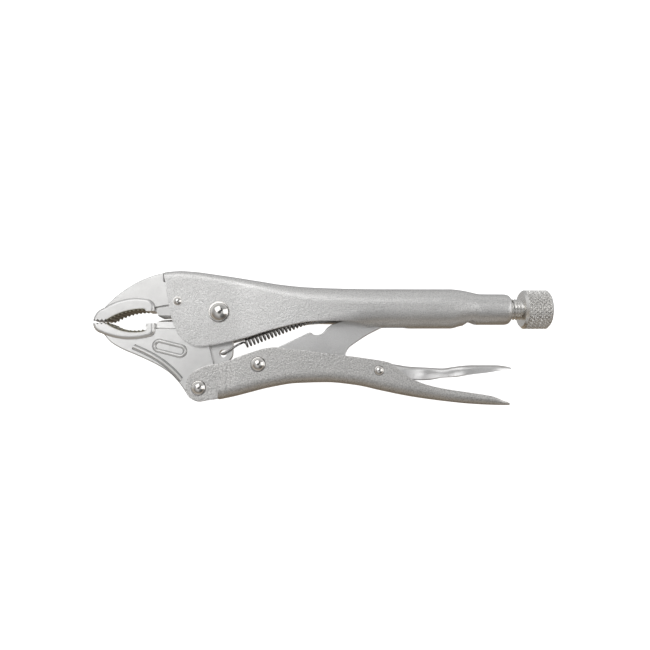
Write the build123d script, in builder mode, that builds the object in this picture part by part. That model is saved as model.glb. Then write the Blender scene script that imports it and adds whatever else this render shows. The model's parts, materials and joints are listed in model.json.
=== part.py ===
"""Curved-jaw locking pliers with wire cutter, 250 mm long, lying on their side.

Units are millimetres. X runs along the tool, jaws towards -X and screw knob
towards +X. Y runs from the lower handle to the upper handle. Z is the
thickness of the tool; the pivots turn about Z. The tool rests on z = 0.
"""
from build123d import *
import math
import os

os.makedirs("parts", exist_ok=True)

# ---- driving dimensions ------------------------------------------------------
sheet = 2.5              # thickness of the pressed handle sheet
jaw_plate = 9.0          # thickness of both forged jaws
nose_width = 13.0        # thickness of the toothed noses
side_play = 0.15         # free play of a plate between two walls, each side
pin_play = 0.05          # radial clearance of a turning pin
jaw_gap = 0.4            # gap between the closed noses

knob_d = 21.8            # knurled screw knob
knob_length = 14.9
screw_d = 11.8           # adjusting screw, over its thread
thread_pitch = 1.75
thread_depth = 1.0
neck_length = 16.5       # threaded neck at the end of the upper handle
tube_height = 22.2       # tubular rear of the upper handle, along Y
tube_width = 20.0        # the same, along Z

link_plate = 6.0         # thickness of the toggle link
release_sheet = 1.8      # sheet of the release lever

main_rivet_r = 4.0       # shank radius, then head radius and head height
main_head = (5.95, 2.5)
link_rivet_r = 2.8
link_head = (4.25, 1.9)
release_rivet_r = 1.9
release_head = (2.85, 1.2)
fixing_rivet_r = 1.7
fixing_head = (2.6, 1.1)

wire_r = 0.55            # return spring
coil_r = 3.2
hook_hole_r = 2.15

# ---- places of the pivots, seen along Z ---------------------------------------
mid_z = knob_d / 2       # middle plane of the tool
main_pivot = (-57.1, 14.1)
lever_pivot = (-67.5, -27.5)
link_pivot = (-35.2, -14.7)
release_pivot = (30.4, -18.1)
fixing_point = (-80.1, 20.0)
spring_hole = (-55.4, -8.6)
toggle_tip = (37.0, 12.9)
screw_y = 16.2           # height of the screw's axis
tip_gap = 3.4            # free space between toggle tip and screw

front_width = jaw_plate + 2 * side_play + 2 * sheet
lower_width = front_width + 2.3                    # lower handle behind its front
release_width = lower_width - 2 * sheet - 1.0      # release lever between its walls
tube_end_x = 72.0
neck_start_x = 88.0
neck_end_x = neck_start_x + neck_length
knob_start_x = 111.1
knob_end_x = knob_start_x + knob_length
neck_d = screw_d + 2 * pin_play + 2 * sheet + 0.3
toggle_r = 5.0
screw_start_x = toggle_tip[0] + toggle_r + tip_gap
grip_y = 8.75            # plane where the closed noses meet

main_head_r = 12.5       # round head of the moving jaw about the main pivot
lever_boss_r = 7.5       # round end of the moving jaw about the lever pivot
lever_end_r = 7.1        # round front end of the lower handle


def side_plane(offset=0.0):
    """Plane of the tool's side view, offset along Z from the middle."""
    return Plane.XY.offset(mid_z + offset)


def cross_plane(x, y):
    """Plane across the tool at x: local x runs along Y, local y along Z."""
    return Plane(origin=(x, y, mid_z), x_dir=(0, 1, 0), z_dir=(1, 0, 0))


# ---- upper handle: folded channel in front, round tube and neck behind --------
# station: x, top, bottom, outer width, outer corner radius
tube_y = 16.6            # middle of the tube, a little above the screw's axis
tube_top = tube_y + tube_height / 2
tube_bottom = tube_y - tube_height / 2
front_stations = [
    (-88.6, 36.8, -9.0, front_width, 4.2),
    (-78.0, 37.6, -9.0, front_width, 4.2),
    (-64.0, 36.0, -9.0, front_width, 4.2),
    (-49.0, 33.8, -9.0, front_width, 4.4),
]
rear_stations = [
    (-49.0, 33.8, -9.0, front_width, 4.4),
    (-34.0, 31.5, -7.0, front_width + 2.2, 5.4),
    (-14.0, 29.2, -2.0, front_width + 4.4, 7.4),
    (8.0, 28.1, 3.0, tube_width - 0.4, 9.0),
    (32.0, tube_top, tube_bottom, tube_width, 9.8),
    (tube_end_x, tube_top, tube_bottom, tube_width, 9.9),
]
neck_stations = [
    (tube_end_x, tube_top, tube_bottom, tube_width, 9.9),
    (neck_start_x, screw_y + neck_d / 2, screw_y - neck_d / 2, neck_d, neck_d / 2 - 0.05),
]

with BuildPart() as upper_handle:
    for stations in (front_stations, rear_stations, neck_stations):
        for x, top, bottom, width, corner in stations:
            with BuildSketch(cross_plane(x, (top + bottom) / 2)):
                RectangleRounded(top - bottom, width, corner)
        loft(ruled=len(stations) < 5)
    with BuildSketch(cross_plane(neck_start_x, screw_y)):
        Circle(neck_d / 2)
    extrude(amount=neck_length)
    neck_rim = upper_handle.edges().sort_by(Axis.X)[-1]
    chamfer(neck_rim, 0.8)
    # side view of the folded blank: rounded front edge and long open belly
    with BuildSketch(side_plane()):
        with BuildLine():
            Line((-88.4, 40), (-88.4, 36.4))
            Spline((-88.4, 36.4), (-85.3, 20.4), (-83.2, 10.6), (-78.8, 0.9), (-70.5, -4.8),
                   (-61.0, -4.4), (-42.4, -0.2), (-29.9, 3.6), (-8.9, 8.4), (6.0, 8.8), (19.0, 8.1),
                   (27.0, 5.2))
            Polyline((27.0, 5.2), (27.0, -6), (neck_end_x + 5, -6), (neck_end_x + 5, 40), (-88.4, 40))
        make_face()
    extrude(amount=tube_width, both=True, mode=Mode.INTERSECT)
    # hollow inside
    for stations in (front_stations, rear_stations, neck_stations):
        for x, top, bottom, width, corner in stations:
            with BuildSketch(cross_plane(x, (top + bottom) / 2)):
                RectangleRounded(top - bottom - 2 * sheet, width - 2 * sheet, corner - sheet)
        loft(ruled=len(stations) < 5, mode=Mode.SUBTRACT)
    with BuildSketch(cross_plane(tube_end_x, screw_y)):
        Circle(screw_d / 2 + pin_play)
    extrude(amount=neck_end_x - tube_end_x, mode=Mode.SUBTRACT)
    # slot for the toggle link in the tube's belly, and the seam of the fold behind it
    slot_width = link_plate + 1.2
    slot_end_x = toggle_tip[0] + 11.0
    seam_gap = 0.5
    with BuildSketch(Plane.XZ.offset(-screw_y)):
        with Locations(((slot_end_x - 40.0 / 2), mid_z)):
            SlotOverall(40.0, slot_width)
        with Locations(((slot_end_x + neck_end_x) / 2, mid_z)):
            Rectangle(neck_end_x - slot_end_x + 2, seam_gap)
    extrude(amount=tube_height, mode=Mode.SUBTRACT)
    # rivet holes
    with BuildSketch(side_plane()):
        with Locations(main_pivot):
            Circle(main_rivet_r)
        with Locations(fixing_point):
            Circle(fixing_rivet_r)
    extrude(amount=tube_width, both=True, mode=Mode.SUBTRACT)
upper_handle.part.label = "upper_handle"
export_step(upper_handle.part, "parts/upper_handle.step")


# ---- teeth shared by both jaws -------------------------------------------------
tooth_pitch = 2.1
tooth_depth = 1.1
fixed_bite = [(-117.8, grip_y + jaw_gap / 2), (-109.2, 13.0), (-98.6, 14.5)]
moving_bite = [(-117.8, grip_y - jaw_gap / 2), (-108.2, 4.7), (-98.1, 4.9)]
nose_x = -126.9


def tooth_places(bite):
    """Point and slope angle of each tooth groove along the nose and the bite arc."""
    arc = Edge.make_three_point_arc(*[(x, y, 0) for x, y in bite])
    places = []
    flat_length = bite[0][0] - nose_x
    for i in range(int(flat_length / tooth_pitch)):
        places.append((nose_x + (i + 0.7) * tooth_pitch, bite[0][1], 0.0))
    for i in range(int(arc.length / tooth_pitch)):
        share = (i + 0.5) * tooth_pitch / arc.length
        point = arc.position_at(share)
        along = arc.tangent_at(share)
        places.append((point.X, point.Y, math.degrees(math.atan2(along.Y, along.X))))
    return places


def tooth_groove(depth, upward):
    """Corners of one V groove, its mouth at the origin."""
    side = 1 if upward else -1
    return [(-depth * 0.6, -side * 0.3), (depth * 0.6, -side * 0.3), (0, side * depth)]


# ---- fixed jaw: forged plate held in the front of the upper handle -------------
shoulder_x = -88.7
with BuildPart() as fixed_jaw:
    with BuildSketch(side_plane()):
        with BuildLine():
            Spline((-121.3, 16.9), (-114.9, 23.2), (-108.4, 28.1), (-101.8, 32.0), (-95.2, 34.7),
                   (shoulder_x, 36.7))
            Polyline((shoulder_x, 36.7), (shoulder_x, 31.4), (-74.0, 31.4), (-72.0, 28.0), (-72.0, 15.8),
                     (-76.0, 11.9), (-83.9, 11.4), (-89.3, 10.8), (-92.2, 13.7), (-98.6, 16.1),
                     (-121.3, 15.8), (-121.3, 16.9))
        make_face()
    extrude(amount=jaw_plate / 2, both=True)
    # toothed nose, wider than the plate
    with BuildSketch(side_plane()):
        with BuildLine():
            ThreePointArc((nose_x, grip_y + jaw_gap / 2), (-125.6, 13.2), (-121.2, 16.6))
            ThreePointArc((-121.2, 16.6), (-108.4, 21.5), (-96.2, 21.1))
            ThreePointArc((-96.2, 21.1), (-93.4, 18.7), (-93.0, 14.8))
            Line((-93.0, 14.8), fixed_bite[2])
            ThreePointArc(*fixed_bite)
            Line(fixed_bite[0], (nose_x, grip_y + jaw_gap / 2))
        make_face()
    extrude(amount=nose_width / 2, both=True)
    # clearance round the moving jaw's head
    with BuildSketch(side_plane()):
        with Locations(main_pivot):
            Circle(main_head_r + 0.4)
        with Locations(fixing_point):
            Circle(fixing_rivet_r)
    extrude(amount=jaw_plate, both=True, mode=Mode.SUBTRACT)
    # teeth
    for x, y, slope in tooth_places(fixed_bite):
        with BuildSketch(Plane(origin=(x, y, mid_z)).rotated((0, 0, slope))):
            Polygon(*tooth_groove(tooth_depth, True), align=None)
    extrude(amount=nose_width, both=True, mode=Mode.SUBTRACT)
    # ground lands of the wire cutter, one on each face
    for side in (1, -1):
        with BuildSketch(Plane.YZ.offset(-93.5)):
            with BuildLine():
                Polyline((10.4, mid_z + side * 0.7), (18.8, mid_z + side * (jaw_plate / 2 - 0.6)),
                         (18.8, mid_z + side * 8), (10.4, mid_z + side * 8), (10.4, mid_z + side * 0.7))
            make_face()
    extrude(amount=12.5, mode=Mode.SUBTRACT)
fixed_jaw.part.label = "fixed_jaw"
export_step(fixed_jaw.part, "parts/fixed_jaw.step")


# ---- moving jaw: forged plate from the toothed nose to the lever pivot ---------
with BuildPart() as moving_jaw:
    with BuildSketch(side_plane()):
        with BuildLine():
            Spline((-121.0, 1.9), (-116.4, -2.9), (-103.5, -9.2), (-90.4, -15.4), (-81.2, -22.1),
                   (-75.6, -28.4))
            Polyline((-75.6, -28.4), (-60.2, -26.0), (-58.2, -15.5), (-55.2, -13.6))
            ThreePointArc((-55.2, -13.6), (-51.4, -11.6), (-50.2, -8.0))
            Polyline((-50.2, -8.0), (-50.2, 5.0), (main_pivot[0] - main_head_r + 0.8, 9.8), (-83.4, 10.6),
                     (-88.6, 10.0), (-92.4, 8.0), (-98.1, 3.3), (-121.0, 1.9))
        make_face()
        with Locations(main_pivot):
            Circle(main_head_r)
        with Locations(lever_pivot):
            Circle(lever_boss_r)
    extrude(amount=jaw_plate / 2, both=True)
    with BuildSketch(side_plane()):
        with BuildLine():
            ThreePointArc((nose_x, grip_y - jaw_gap / 2), (-125.9, 4.9), (-122.3, 2.5))
            ThreePointArc((-122.3, 2.5), (-108.2, -0.7), (-95.6, 0.5))
            ThreePointArc((-95.6, 0.5), (-93.2, 1.9), (-92.6, 4.5))
            Polyline((-92.6, 4.5), (-92.6, 7.8), (-96.0, 8.3), moving_bite[2])
            ThreePointArc(*moving_bite)
            Line(moving_bite[0], (nose_x, grip_y - jaw_gap / 2))
        make_face()
    extrude(amount=nose_width / 2, both=True)
    for x, y, slope in tooth_places(moving_bite):
        with BuildSketch(Plane(origin=(x, y, mid_z)).rotated((0, 0, slope))):
            Polygon(*tooth_groove(tooth_depth, False), align=None)
    extrude(amount=nose_width, both=True, mode=Mode.SUBTRACT)
    # thin tab for the spring hook
    tab_half = 2.4
    for side in (1, -1):
        with BuildSketch(side_plane(side * tab_half)):
            with BuildLine():
                Polyline((-64.0, 1.0), (-60.2, -14.6), (-60.2, -18.0), (-46.0, -18.0), (-46.0, 0.6),
                         (-64.0, 1.0))
            make_face()
        extrude(amount=side * jaw_plate, mode=Mode.SUBTRACT)
    for side in (1, -1):
        with BuildSketch(Plane.YZ.offset(-92.5)):
            with BuildLine():
                Polyline((11.0, mid_z + side * 0.7), (4.9, mid_z + side * (jaw_plate / 2 - 0.6)),
                         (4.9, mid_z + side * 8), (11.0, mid_z + side * 8), (11.0, mid_z + side * 0.7))
            make_face()
    extrude(amount=12.5, mode=Mode.SUBTRACT)
    with BuildSketch(side_plane()):
        with Locations(main_pivot):
            Circle(main_rivet_r + pin_play)
        with Locations(lever_pivot):
            Circle(link_rivet_r + pin_play)
        with Locations(spring_hole):
            Circle(hook_hole_r)
    extrude(amount=jaw_plate, both=True, mode=Mode.SUBTRACT)
moving_jaw.part.label = "moving_jaw"
export_step(moving_jaw.part, "parts/moving_jaw.step")


# ---- lower handle: channel folded round the jaw, the link and the lever --------
handle_depth = 34.0      # height of the loft above the web, trimmed by the side view
lower_stations = [       # x, underside of the web, outer width
    (-57.0, -33.8, front_width),
    (-49.0, -32.1, front_width + 0.4),
    (-42.0, -30.3, lower_width),
    (-30.0, -27.3, lower_width),
    (-15.0, -24.9, lower_width),
    (2.0, -24.3, lower_width),
    (18.0, -25.9, lower_width),
    (33.0, -29.0, lower_width),
    (48.0, -32.1, lower_width),
    (64.0, -34.3, lower_width),
    (82.0, -36.2, lower_width),
    (93.0, -36.7, lower_width),
    (103.0, -36.9, lower_width),
]
lower_corner = 3.4
with BuildPart() as lower_handle:
    for x, bottom, width in lower_stations:
        with BuildSketch(cross_plane(x, bottom + handle_depth / 2)):
            RectangleRounded(handle_depth, width, lower_corner)
    loft()
    with BuildSketch(side_plane()):
        with BuildLine():
            Polyline((-58.0, -14.7), (-58.0, -40), (104, -40), (104, -36.0), (101.0, -34.6))
            Spline((101.0, -34.6), (97.6, -33.4), (82.6, -30.4), (58.2, -26.4), (46.2, -21.7), (35.9, -13.7),
                   (25.0, -11.7), (4.9, -9.1), (-8.9, -7.4), (-26.3, -5.5), (-39.1, -8.2), (-58.0, -14.7))
        make_face()
    extrude(amount=lower_width, both=True, mode=Mode.INTERSECT)
    for x, bottom, width in lower_stations:
        with BuildSketch(cross_plane(x, bottom + sheet + handle_depth / 2)):
            RectangleRounded(handle_depth, width - 2 * sheet, lower_corner - sheet)
    loft(mode=Mode.SUBTRACT)
    # rounded tail, seen from above
    with BuildSketch(Plane.XZ):
        with Locations((103.0 - 90.0, mid_z)):
            RectangleRounded(180.0, lower_width + 0.02, lower_width / 2)
    extrude(amount=60, both=True, mode=Mode.INTERSECT)
    # two ears that straddle the moving jaw
    for side in (1, -1):
        with BuildSketch(side_plane(side * (front_width / 2 - sheet))):
            with Locations(lever_pivot):
                Circle(lever_end_r)
            with BuildLine():
                Polyline((-71.6, -21.6), (-70.2, -18.6), (-58.0, -14.7), (-56.0, -14.7), (-56.0, -32.6),
                         (-64.4, -33.9), (-68.0, -34.0), (-71.6, -21.6))
            make_face()
        extrude(amount=side * sheet)
    with BuildSketch(side_plane()):
        with Locations(lever_pivot):
            Circle(link_rivet_r)
        with Locations(link_pivot):
            Circle(link_rivet_r)
        with Locations(release_pivot):
            Circle(release_rivet_r)
    extrude(amount=lower_width, both=True, mode=Mode.SUBTRACT)
lower_handle.part.label = "lower_handle"
export_step(lower_handle.part, "parts/lower_handle.step")


# ---- toggle link: stamped strut from the lower handle to the screw -------------
link_boss_r = 6.4
with BuildPart() as toggle_link:
    with BuildSketch(side_plane()):
        with BuildLine():
            Polyline((-36.0, -8.4), (-25.2, -5.3), (-7.3, 2.9), (-5.7, 2.0))
            ThreePointArc((-5.7, 2.0), (-2.6, 1.7), (0.6, 3.4))
            ThreePointArc((0.6, 3.4), (3.2, 6.4), (7.6, 8.5))
            Polyline((7.6, 8.5), (22.0, 14.2), (35.3, 17.6), (38.8, 8.2), (30.3, 4.8), (19.6, -1.4),
                     (16.1, -3.8))
            ThreePointArc((16.1, -3.8), (13.2, -7.2), (12.4, -11.4))
            Polyline((12.4, -11.4), (9.0, -14.4), (-34.0, -21.0), (-36.0, -8.4))
        make_face()
        with Locations(link_pivot):
            Circle(link_boss_r)
        with Locations(toggle_tip):
            Circle(toggle_r)
    extrude(amount=link_plate / 2, both=True)
    # boss that fills the handle at the pivot
    with BuildSketch(side_plane()):
        with Locations(link_pivot):
            Circle(link_rivet_r + 2.4)
    extrude(amount=lower_width / 2 - sheet - side_play, both=True)
    with BuildSketch(side_plane()):
        with Locations(link_pivot):
            Circle(link_rivet_r + pin_play)
    extrude(amount=lower_width, both=True, mode=Mode.SUBTRACT)
toggle_link.part.label = "toggle_link"
export_step(toggle_link.part, "parts/toggle_link.step")


# ---- release lever: pressed channel that lies between the two handles ----------
release_end_x = 104.4
with BuildPart() as release_lever:
    with BuildSketch(side_plane()):
        with BuildLine():
            Spline((12.6, -17.6), (22.0, -15.2), (34.0, -13.9), (45.7, -15.6), (58.2, -16.5), (71.6, -16.1),
                   (82.6, -15.0), (95.1, -15.0), (release_end_x, -16.2))
            Line((release_end_x, -16.2), (release_end_x - 1.0, -17.3))
            Spline((release_end_x - 1.0, -17.3), (90.0, -19.5), (82.6, -20.4), (66.9, -21.8), (52.0, -23.0),
                   (45.0, -22.0), (36.0, -21.8), (24.0, -21.0), (13.0, -20.0))
            Line((13.0, -20.0), (12.6, -17.6))
        make_face()
    extrude(amount=release_width / 2, both=True)
    with BuildSketch(side_plane()):
        with BuildLine():
            Spline((12.0, -20.4), (22.0, -17.2), (34.0, -15.9), (45.7, -17.6), (58.2, -18.5), (71.6, -18.1),
                   (84.6, -17.0), (93.0, -16.9))
            Polyline((93.0, -16.9), (93.0, -26.0), (12.0, -26.0), (12.0, -20.4))
        make_face()
    extrude(amount=release_width / 2 - release_sheet, both=True, mode=Mode.SUBTRACT)
    with BuildSketch(Plane.XZ):
        with Locations((release_end_x - 60.0, mid_z)):
            RectangleRounded(120.0, release_width + 0.02, release_width / 2 - 0.2)
    extrude(amount=60, both=True, mode=Mode.INTERSECT)
    with BuildSketch(side_plane()):
        with Locations(release_pivot):
            Circle(release_rivet_r + pin_play)
    extrude(amount=release_width, both=True, mode=Mode.SUBTRACT)
release_lever.part.label = "release_lever"
export_step(release_lever.part, "parts/release_lever.step")


# ---- rivets: a straight shank with a domed head on each side -------------------
seat_gap = 0.04          # the heads stand this far off the sheet
head_rim = 0.35          # straight rim below the dome
rivets = [  # name, place, shank radius, head (radius, height), grip between the heads
    ("main_pivot_rivet", main_pivot, main_rivet_r, main_head, front_width),
    ("fixed_jaw_rivet", fixing_point, fixing_rivet_r, fixing_head, front_width),
    ("lever_pivot_rivet", lever_pivot, link_rivet_r, link_head, front_width),
    ("link_pivot_rivet", link_pivot, link_rivet_r, link_head, lower_width),
    ("release_lever_rivet", release_pivot, release_rivet_r, release_head, lower_width),
]
for name, place, shank_r, (head_r, head_height), grip in rivets:
    half = grip / 2 + seat_gap
    top = half + head_height
    shoulder = half + head_rim
    ball_r = (head_r ** 2 + (top - shoulder) ** 2) / (2 * (top - shoulder))
    arc_x = head_r * 0.6
    arc_z = top - ball_r + math.sqrt(ball_r ** 2 - arc_x ** 2)
    with BuildPart() as rivet:
        with BuildSketch(Plane(origin=(*place, mid_z), x_dir=(1, 0, 0), z_dir=(0, -1, 0))):
            with BuildLine():
                ThreePointArc((0, top), (arc_x, arc_z), (head_r, shoulder))
                Polyline((head_r, shoulder), (head_r, half), (shank_r, half), (shank_r, -half),
                         (head_r, -half), (head_r, -shoulder))
                ThreePointArc((head_r, -shoulder), (arc_x, -arc_z), (0, -top))
                Line((0, -top), (0, top))
            make_face()
        revolve(axis=Axis((*place, 0), (0, 0, 1)))
    rivet.part.label = name
    export_step(rivet.part, f"parts/{name}.step")


# ---- adjusting screw: threaded rod that the toggle link bears against ----------
thread_turns = int((knob_start_x - screw_start_x - 2) / thread_pitch)
with BuildPart() as adjusting_screw:
    with BuildSketch(Plane(origin=(0, screw_y, mid_z), x_dir=(1, 0, 0), z_dir=(0, 0, 1))):
        with BuildLine():
            root_r = screw_d / 2 - thread_depth
            profile = [(screw_start_x, 0), (screw_start_x, root_r - 0.4)]
            for turn in range(thread_turns):
                start = screw_start_x + 0.6 + turn * thread_pitch
                profile.append((start, root_r))
                profile.append((start + thread_pitch * 0.42, screw_d / 2))
                profile.append((start + thread_pitch * 0.58, screw_d / 2))
            profile += [(start + thread_pitch, root_r), (knob_start_x, root_r), (knob_start_x, 0)]
            Polyline(*profile, close=True)
        make_face()
    revolve(axis=Axis((0, screw_y, mid_z), (1, 0, 0)))
adjusting_screw.part.label = "adjusting_screw"
export_step(adjusting_screw.part, "parts/adjusting_screw.step")


# ---- knurled knob pressed on the end of the screw ------------------------------
knob_rim = 1.3
with BuildPart() as screw_knob:
    with BuildSketch(cross_plane(knob_start_x, screw_y)):
        Circle(knob_d / 2)
    extrude(amount=knob_length)
    chamfer(screw_knob.edges().filter_by(GeomType.CIRCLE), knob_rim)
screw_knob.part.label = "screw_knob"
export_step(screw_knob.part, "parts/screw_knob.step")


# ---- return spring and the clip that holds its rear end ------------------------
coil_start = (-43.5, -2.4)
coil_end = (4.0, 16.0)
anchor_x = 10.0
axis_angle = math.atan2(coil_end[1] - coil_start[1], coil_end[0] - coil_start[0])
axis_dir = (math.cos(axis_angle), math.sin(axis_angle), 0)
coil_length = math.dist(coil_start, coil_end)
hook_z = tab_half + wire_r + 0.5
anchor_point = (anchor_x + 0.9, 19.4)
anchor_thickness = 1.8
with BuildPart() as return_spring:
    with BuildSketch(Plane(origin=(*coil_start, mid_z), z_dir=axis_dir)):
        Circle(coil_r)
        Circle(coil_r - 2 * wire_r, mode=Mode.SUBTRACT)
    extrude(amount=coil_length)
    # closed turns at both ends, and the two hooks
    for base, lead in ((coil_start, 1), (coil_end, -1)):
        with BuildSketch(Plane(origin=(*base, mid_z), z_dir=axis_dir)):
            Circle(coil_r)
        extrude(amount=lead * 1.2)
    with BuildLine() as front_hook:
        FilletPolyline((*coil_start, mid_z), (-49.0, -5.2, mid_z + hook_z), (*spring_hole, mid_z + hook_z),
                       (*spring_hole, mid_z - 1.0), radius=1.2)
    with BuildSketch(Plane(origin=front_hook.line @ 0, z_dir=front_hook.line % 0)):
        Circle(wire_r)
    sweep(path=front_hook.line)
    with BuildLine() as rear_hook:
        FilletPolyline((*coil_end, mid_z), (anchor_x - 2.2, 19.4, mid_z), (anchor_x + 3.2, 19.4, mid_z),
                       radius=1.0)
    with BuildSketch(Plane(origin=rear_hook.line @ 0, z_dir=rear_hook.line % 0)):
        Circle(wire_r)
    sweep(path=rear_hook.line)
return_spring.part.label = "return_spring"
export_step(return_spring.part, "parts/return_spring.step")

with BuildPart() as spring_anchor:
    anchor_top = 27.9 - sheet
    anchor_bottom = 17.2
    with BuildSketch(cross_plane(anchor_x, (anchor_top + anchor_bottom) / 2)):
        RectangleRounded(anchor_top - anchor_bottom, 4.0, 0.8)
    extrude(amount=anchor_thickness)
    with BuildSketch(cross_plane(anchor_x, anchor_point[1])):
        Circle(wire_r + 0.35)
    extrude(amount=anchor_thickness, mode=Mode.SUBTRACT)
spring_anchor.part.label = "spring_anchor"
export_step(spring_anchor.part, "parts/spring_anchor.step")
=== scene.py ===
"""Curved-jaw locking pliers: the visible pieces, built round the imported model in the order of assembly."""
import json
import math

import bmesh
import bpy
from mathutils import Matrix, Vector

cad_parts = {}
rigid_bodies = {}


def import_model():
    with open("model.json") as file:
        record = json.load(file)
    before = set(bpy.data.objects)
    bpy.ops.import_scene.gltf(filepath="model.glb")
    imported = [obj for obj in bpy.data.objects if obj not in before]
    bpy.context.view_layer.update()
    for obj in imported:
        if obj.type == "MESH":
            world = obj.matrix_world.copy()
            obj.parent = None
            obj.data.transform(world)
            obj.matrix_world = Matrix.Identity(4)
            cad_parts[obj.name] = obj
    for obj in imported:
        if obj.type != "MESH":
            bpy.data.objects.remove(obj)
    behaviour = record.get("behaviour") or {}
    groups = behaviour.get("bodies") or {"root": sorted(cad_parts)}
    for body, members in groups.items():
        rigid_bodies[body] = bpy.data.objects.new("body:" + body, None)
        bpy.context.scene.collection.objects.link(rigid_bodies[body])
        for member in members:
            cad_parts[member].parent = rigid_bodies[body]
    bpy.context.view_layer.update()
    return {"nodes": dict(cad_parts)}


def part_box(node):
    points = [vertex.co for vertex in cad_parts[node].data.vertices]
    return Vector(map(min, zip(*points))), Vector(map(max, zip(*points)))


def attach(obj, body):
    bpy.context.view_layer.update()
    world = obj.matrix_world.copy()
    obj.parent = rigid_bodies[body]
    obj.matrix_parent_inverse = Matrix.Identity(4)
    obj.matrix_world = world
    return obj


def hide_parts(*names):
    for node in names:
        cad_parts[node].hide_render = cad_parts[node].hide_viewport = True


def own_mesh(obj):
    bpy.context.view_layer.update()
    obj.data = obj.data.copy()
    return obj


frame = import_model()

# ---- Upper handle -----------------------------------------------------------------------------
# The upper handle is one blank of 2.5 mm steel, pressed and folded: an open channel in front, a
# closed tube behind it and a neck with an inside thread at the end. It is blasted, then nickel
# plated, which leaves a fine satin grain.

MM = 0.001
SHEET = 2.5
mid_z = (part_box("screw_knob")[0][2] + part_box("screw_knob")[1][2]) / 2 / MM


def centre(node):
    """Middle of a CAD node's box in the side view, in millimetres."""
    low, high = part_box(node)
    return ((low[0] + high[0]) / 2 / MM, (low[1] + high[1]) / 2 / MM)


def smooth_between(points):
    """A smooth function of x through (x, value) points, with no overshoot between them."""
    xs = [p[0] for p in points]
    ys = [p[1] for p in points]
    chords = [(ys[i + 1] - ys[i]) / (xs[i + 1] - xs[i]) for i in range(len(xs) - 1)]
    slopes = [chords[0]]
    for a, b in zip(chords, chords[1:]):
        slopes.append(0.0 if a * b <= 0 else 2 * a * b / (a + b))
    slopes.append(chords[-1])

    def value(x):
        if x <= xs[0]:
            return ys[0]
        if x >= xs[-1]:
            return ys[-1]
        i = max(k for k in range(len(xs) - 1) if xs[k] <= x)
        width = xs[i + 1] - xs[i]
        t = (x - xs[i]) / width
        return ((1 + 2 * t) * (1 - t) ** 2 * ys[i] + t * (1 - t) ** 2 * width * slopes[i]
                + t * t * (3 - 2 * t) * ys[i + 1] + t * t * (t - 1) * width * slopes[i + 1])
    return value


def curve_through(points, step=1.0, closed=False):
    """Points about step apart on a smooth plane curve through the given points."""
    count = len(points)
    spans = count if closed else count - 1
    result = []
    for i in range(spans):
        p1, p2 = Vector(points[i]), Vector(points[(i + 1) % count])
        p0 = Vector(points[(i - 1) % count]) if closed or i > 0 else p1 * 2 - p2
        p3 = Vector(points[(i + 2) % count]) if closed or i + 2 < count else p2 * 2 - p1
        d0, d1, d2 = (max((b - a).length, 1e-6) ** 0.5 for a, b in ((p0, p1), (p1, p2), (p2, p3)))
        m1 = (p2 - p1) + d1 * ((p1 - p0) / d0 - (p2 - p0) / (d0 + d1))
        m2 = (p2 - p1) + d1 * ((p3 - p2) / d2 - (p3 - p1) / (d1 + d2))
        pieces = max(1, round((p2 - p1).length / step))
        for k in range(pieces):
            t = k / pieces
            result.append(p1 * (2 * t ** 3 - 3 * t * t + 1) + m1 * (t ** 3 - 2 * t * t + t)
                          + p2 * (3 * t * t - 2 * t ** 3) + m2 * (t ** 3 - t * t))
    if not closed:
        result.append(Vector(points[-1]))
    return [(p.x, p.y) for p in result]


def even_points(path, count):
    """count points evenly spaced along a polyline."""
    lengths = [0.0]
    for a, b in zip(path, path[1:]):
        lengths.append(lengths[-1] + math.dist(a, b))
    result = []
    k = 0
    for i in range(count):
        target = lengths[-1] * i / (count - 1)
        while k < len(path) - 2 and lengths[k + 1] < target:
            k += 1
        span = max(lengths[k + 1] - lengths[k], 1e-9)
        t = (target - lengths[k]) / span
        result.append(tuple(a + (b - a) * t for a, b in zip(path[k], path[k + 1])))
    return result


def half_section(top, bottom, half, corner, fine=10):
    """Half of a rounded section from its top middle to its bottom middle, as (z, y) points."""
    path = [(0.0, top)]
    for k in range(fine + 1):
        turn = math.pi / 2 * (1 - k / fine)
        path.append((half - corner + corner * math.cos(turn), top - corner + corner * math.sin(turn)))
    for k in range(fine + 1):
        turn = -math.pi / 2 * k / fine
        path.append((half - corner + corner * math.cos(turn), bottom + corner + corner * math.sin(turn)))
    path.append((0.0, bottom))
    return path


def cut_path(path, is_gone):
    """The path up to the first place where is_gone(z, y) holds."""
    dense = even_points(path, 260)
    kept = [dense[0]]
    for p in dense[1:]:
        if is_gone(*p):
            break
        kept.append(p)
    return kept


def new_piece(name, points, faces):
    """A mesh object of points in millimetres."""
    mesh = bpy.data.meshes.new(name)
    mesh.from_pydata([tuple(c * MM for c in p) for p in points], [], faces)
    mesh.update()
    piece = bpy.data.objects.new(name, mesh)
    bpy.context.scene.collection.objects.link(piece)
    return piece


def close_seams(piece, near=0.001):
    """Merges doubled corners nearer than a distance in millimetres, then turns every face outward."""
    work = bmesh.new()
    work.from_mesh(piece.data)
    bmesh.ops.remove_doubles(work, verts=work.verts, dist=near * MM)
    bmesh.ops.recalc_face_normals(work, faces=work.faces)
    work.to_mesh(piece.data)
    work.free()
    return piece


def finish_mesh(piece, smooth_angle=40.0):
    """Turns the modifiers' result into the piece's plain mesh, shaded smooth up to an angle."""
    bpy.context.view_layer.update()
    ready = piece.evaluated_get(bpy.context.evaluated_depsgraph_get())
    mesh = bpy.data.meshes.new_from_object(ready)
    piece.modifiers.clear()
    piece.vertex_groups.clear()
    piece.data = mesh
    for face in mesh.polygons:
        face.use_smooth = True
    mesh.set_sharp_from_angle(angle=math.radians(smooth_angle))
    return piece


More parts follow.
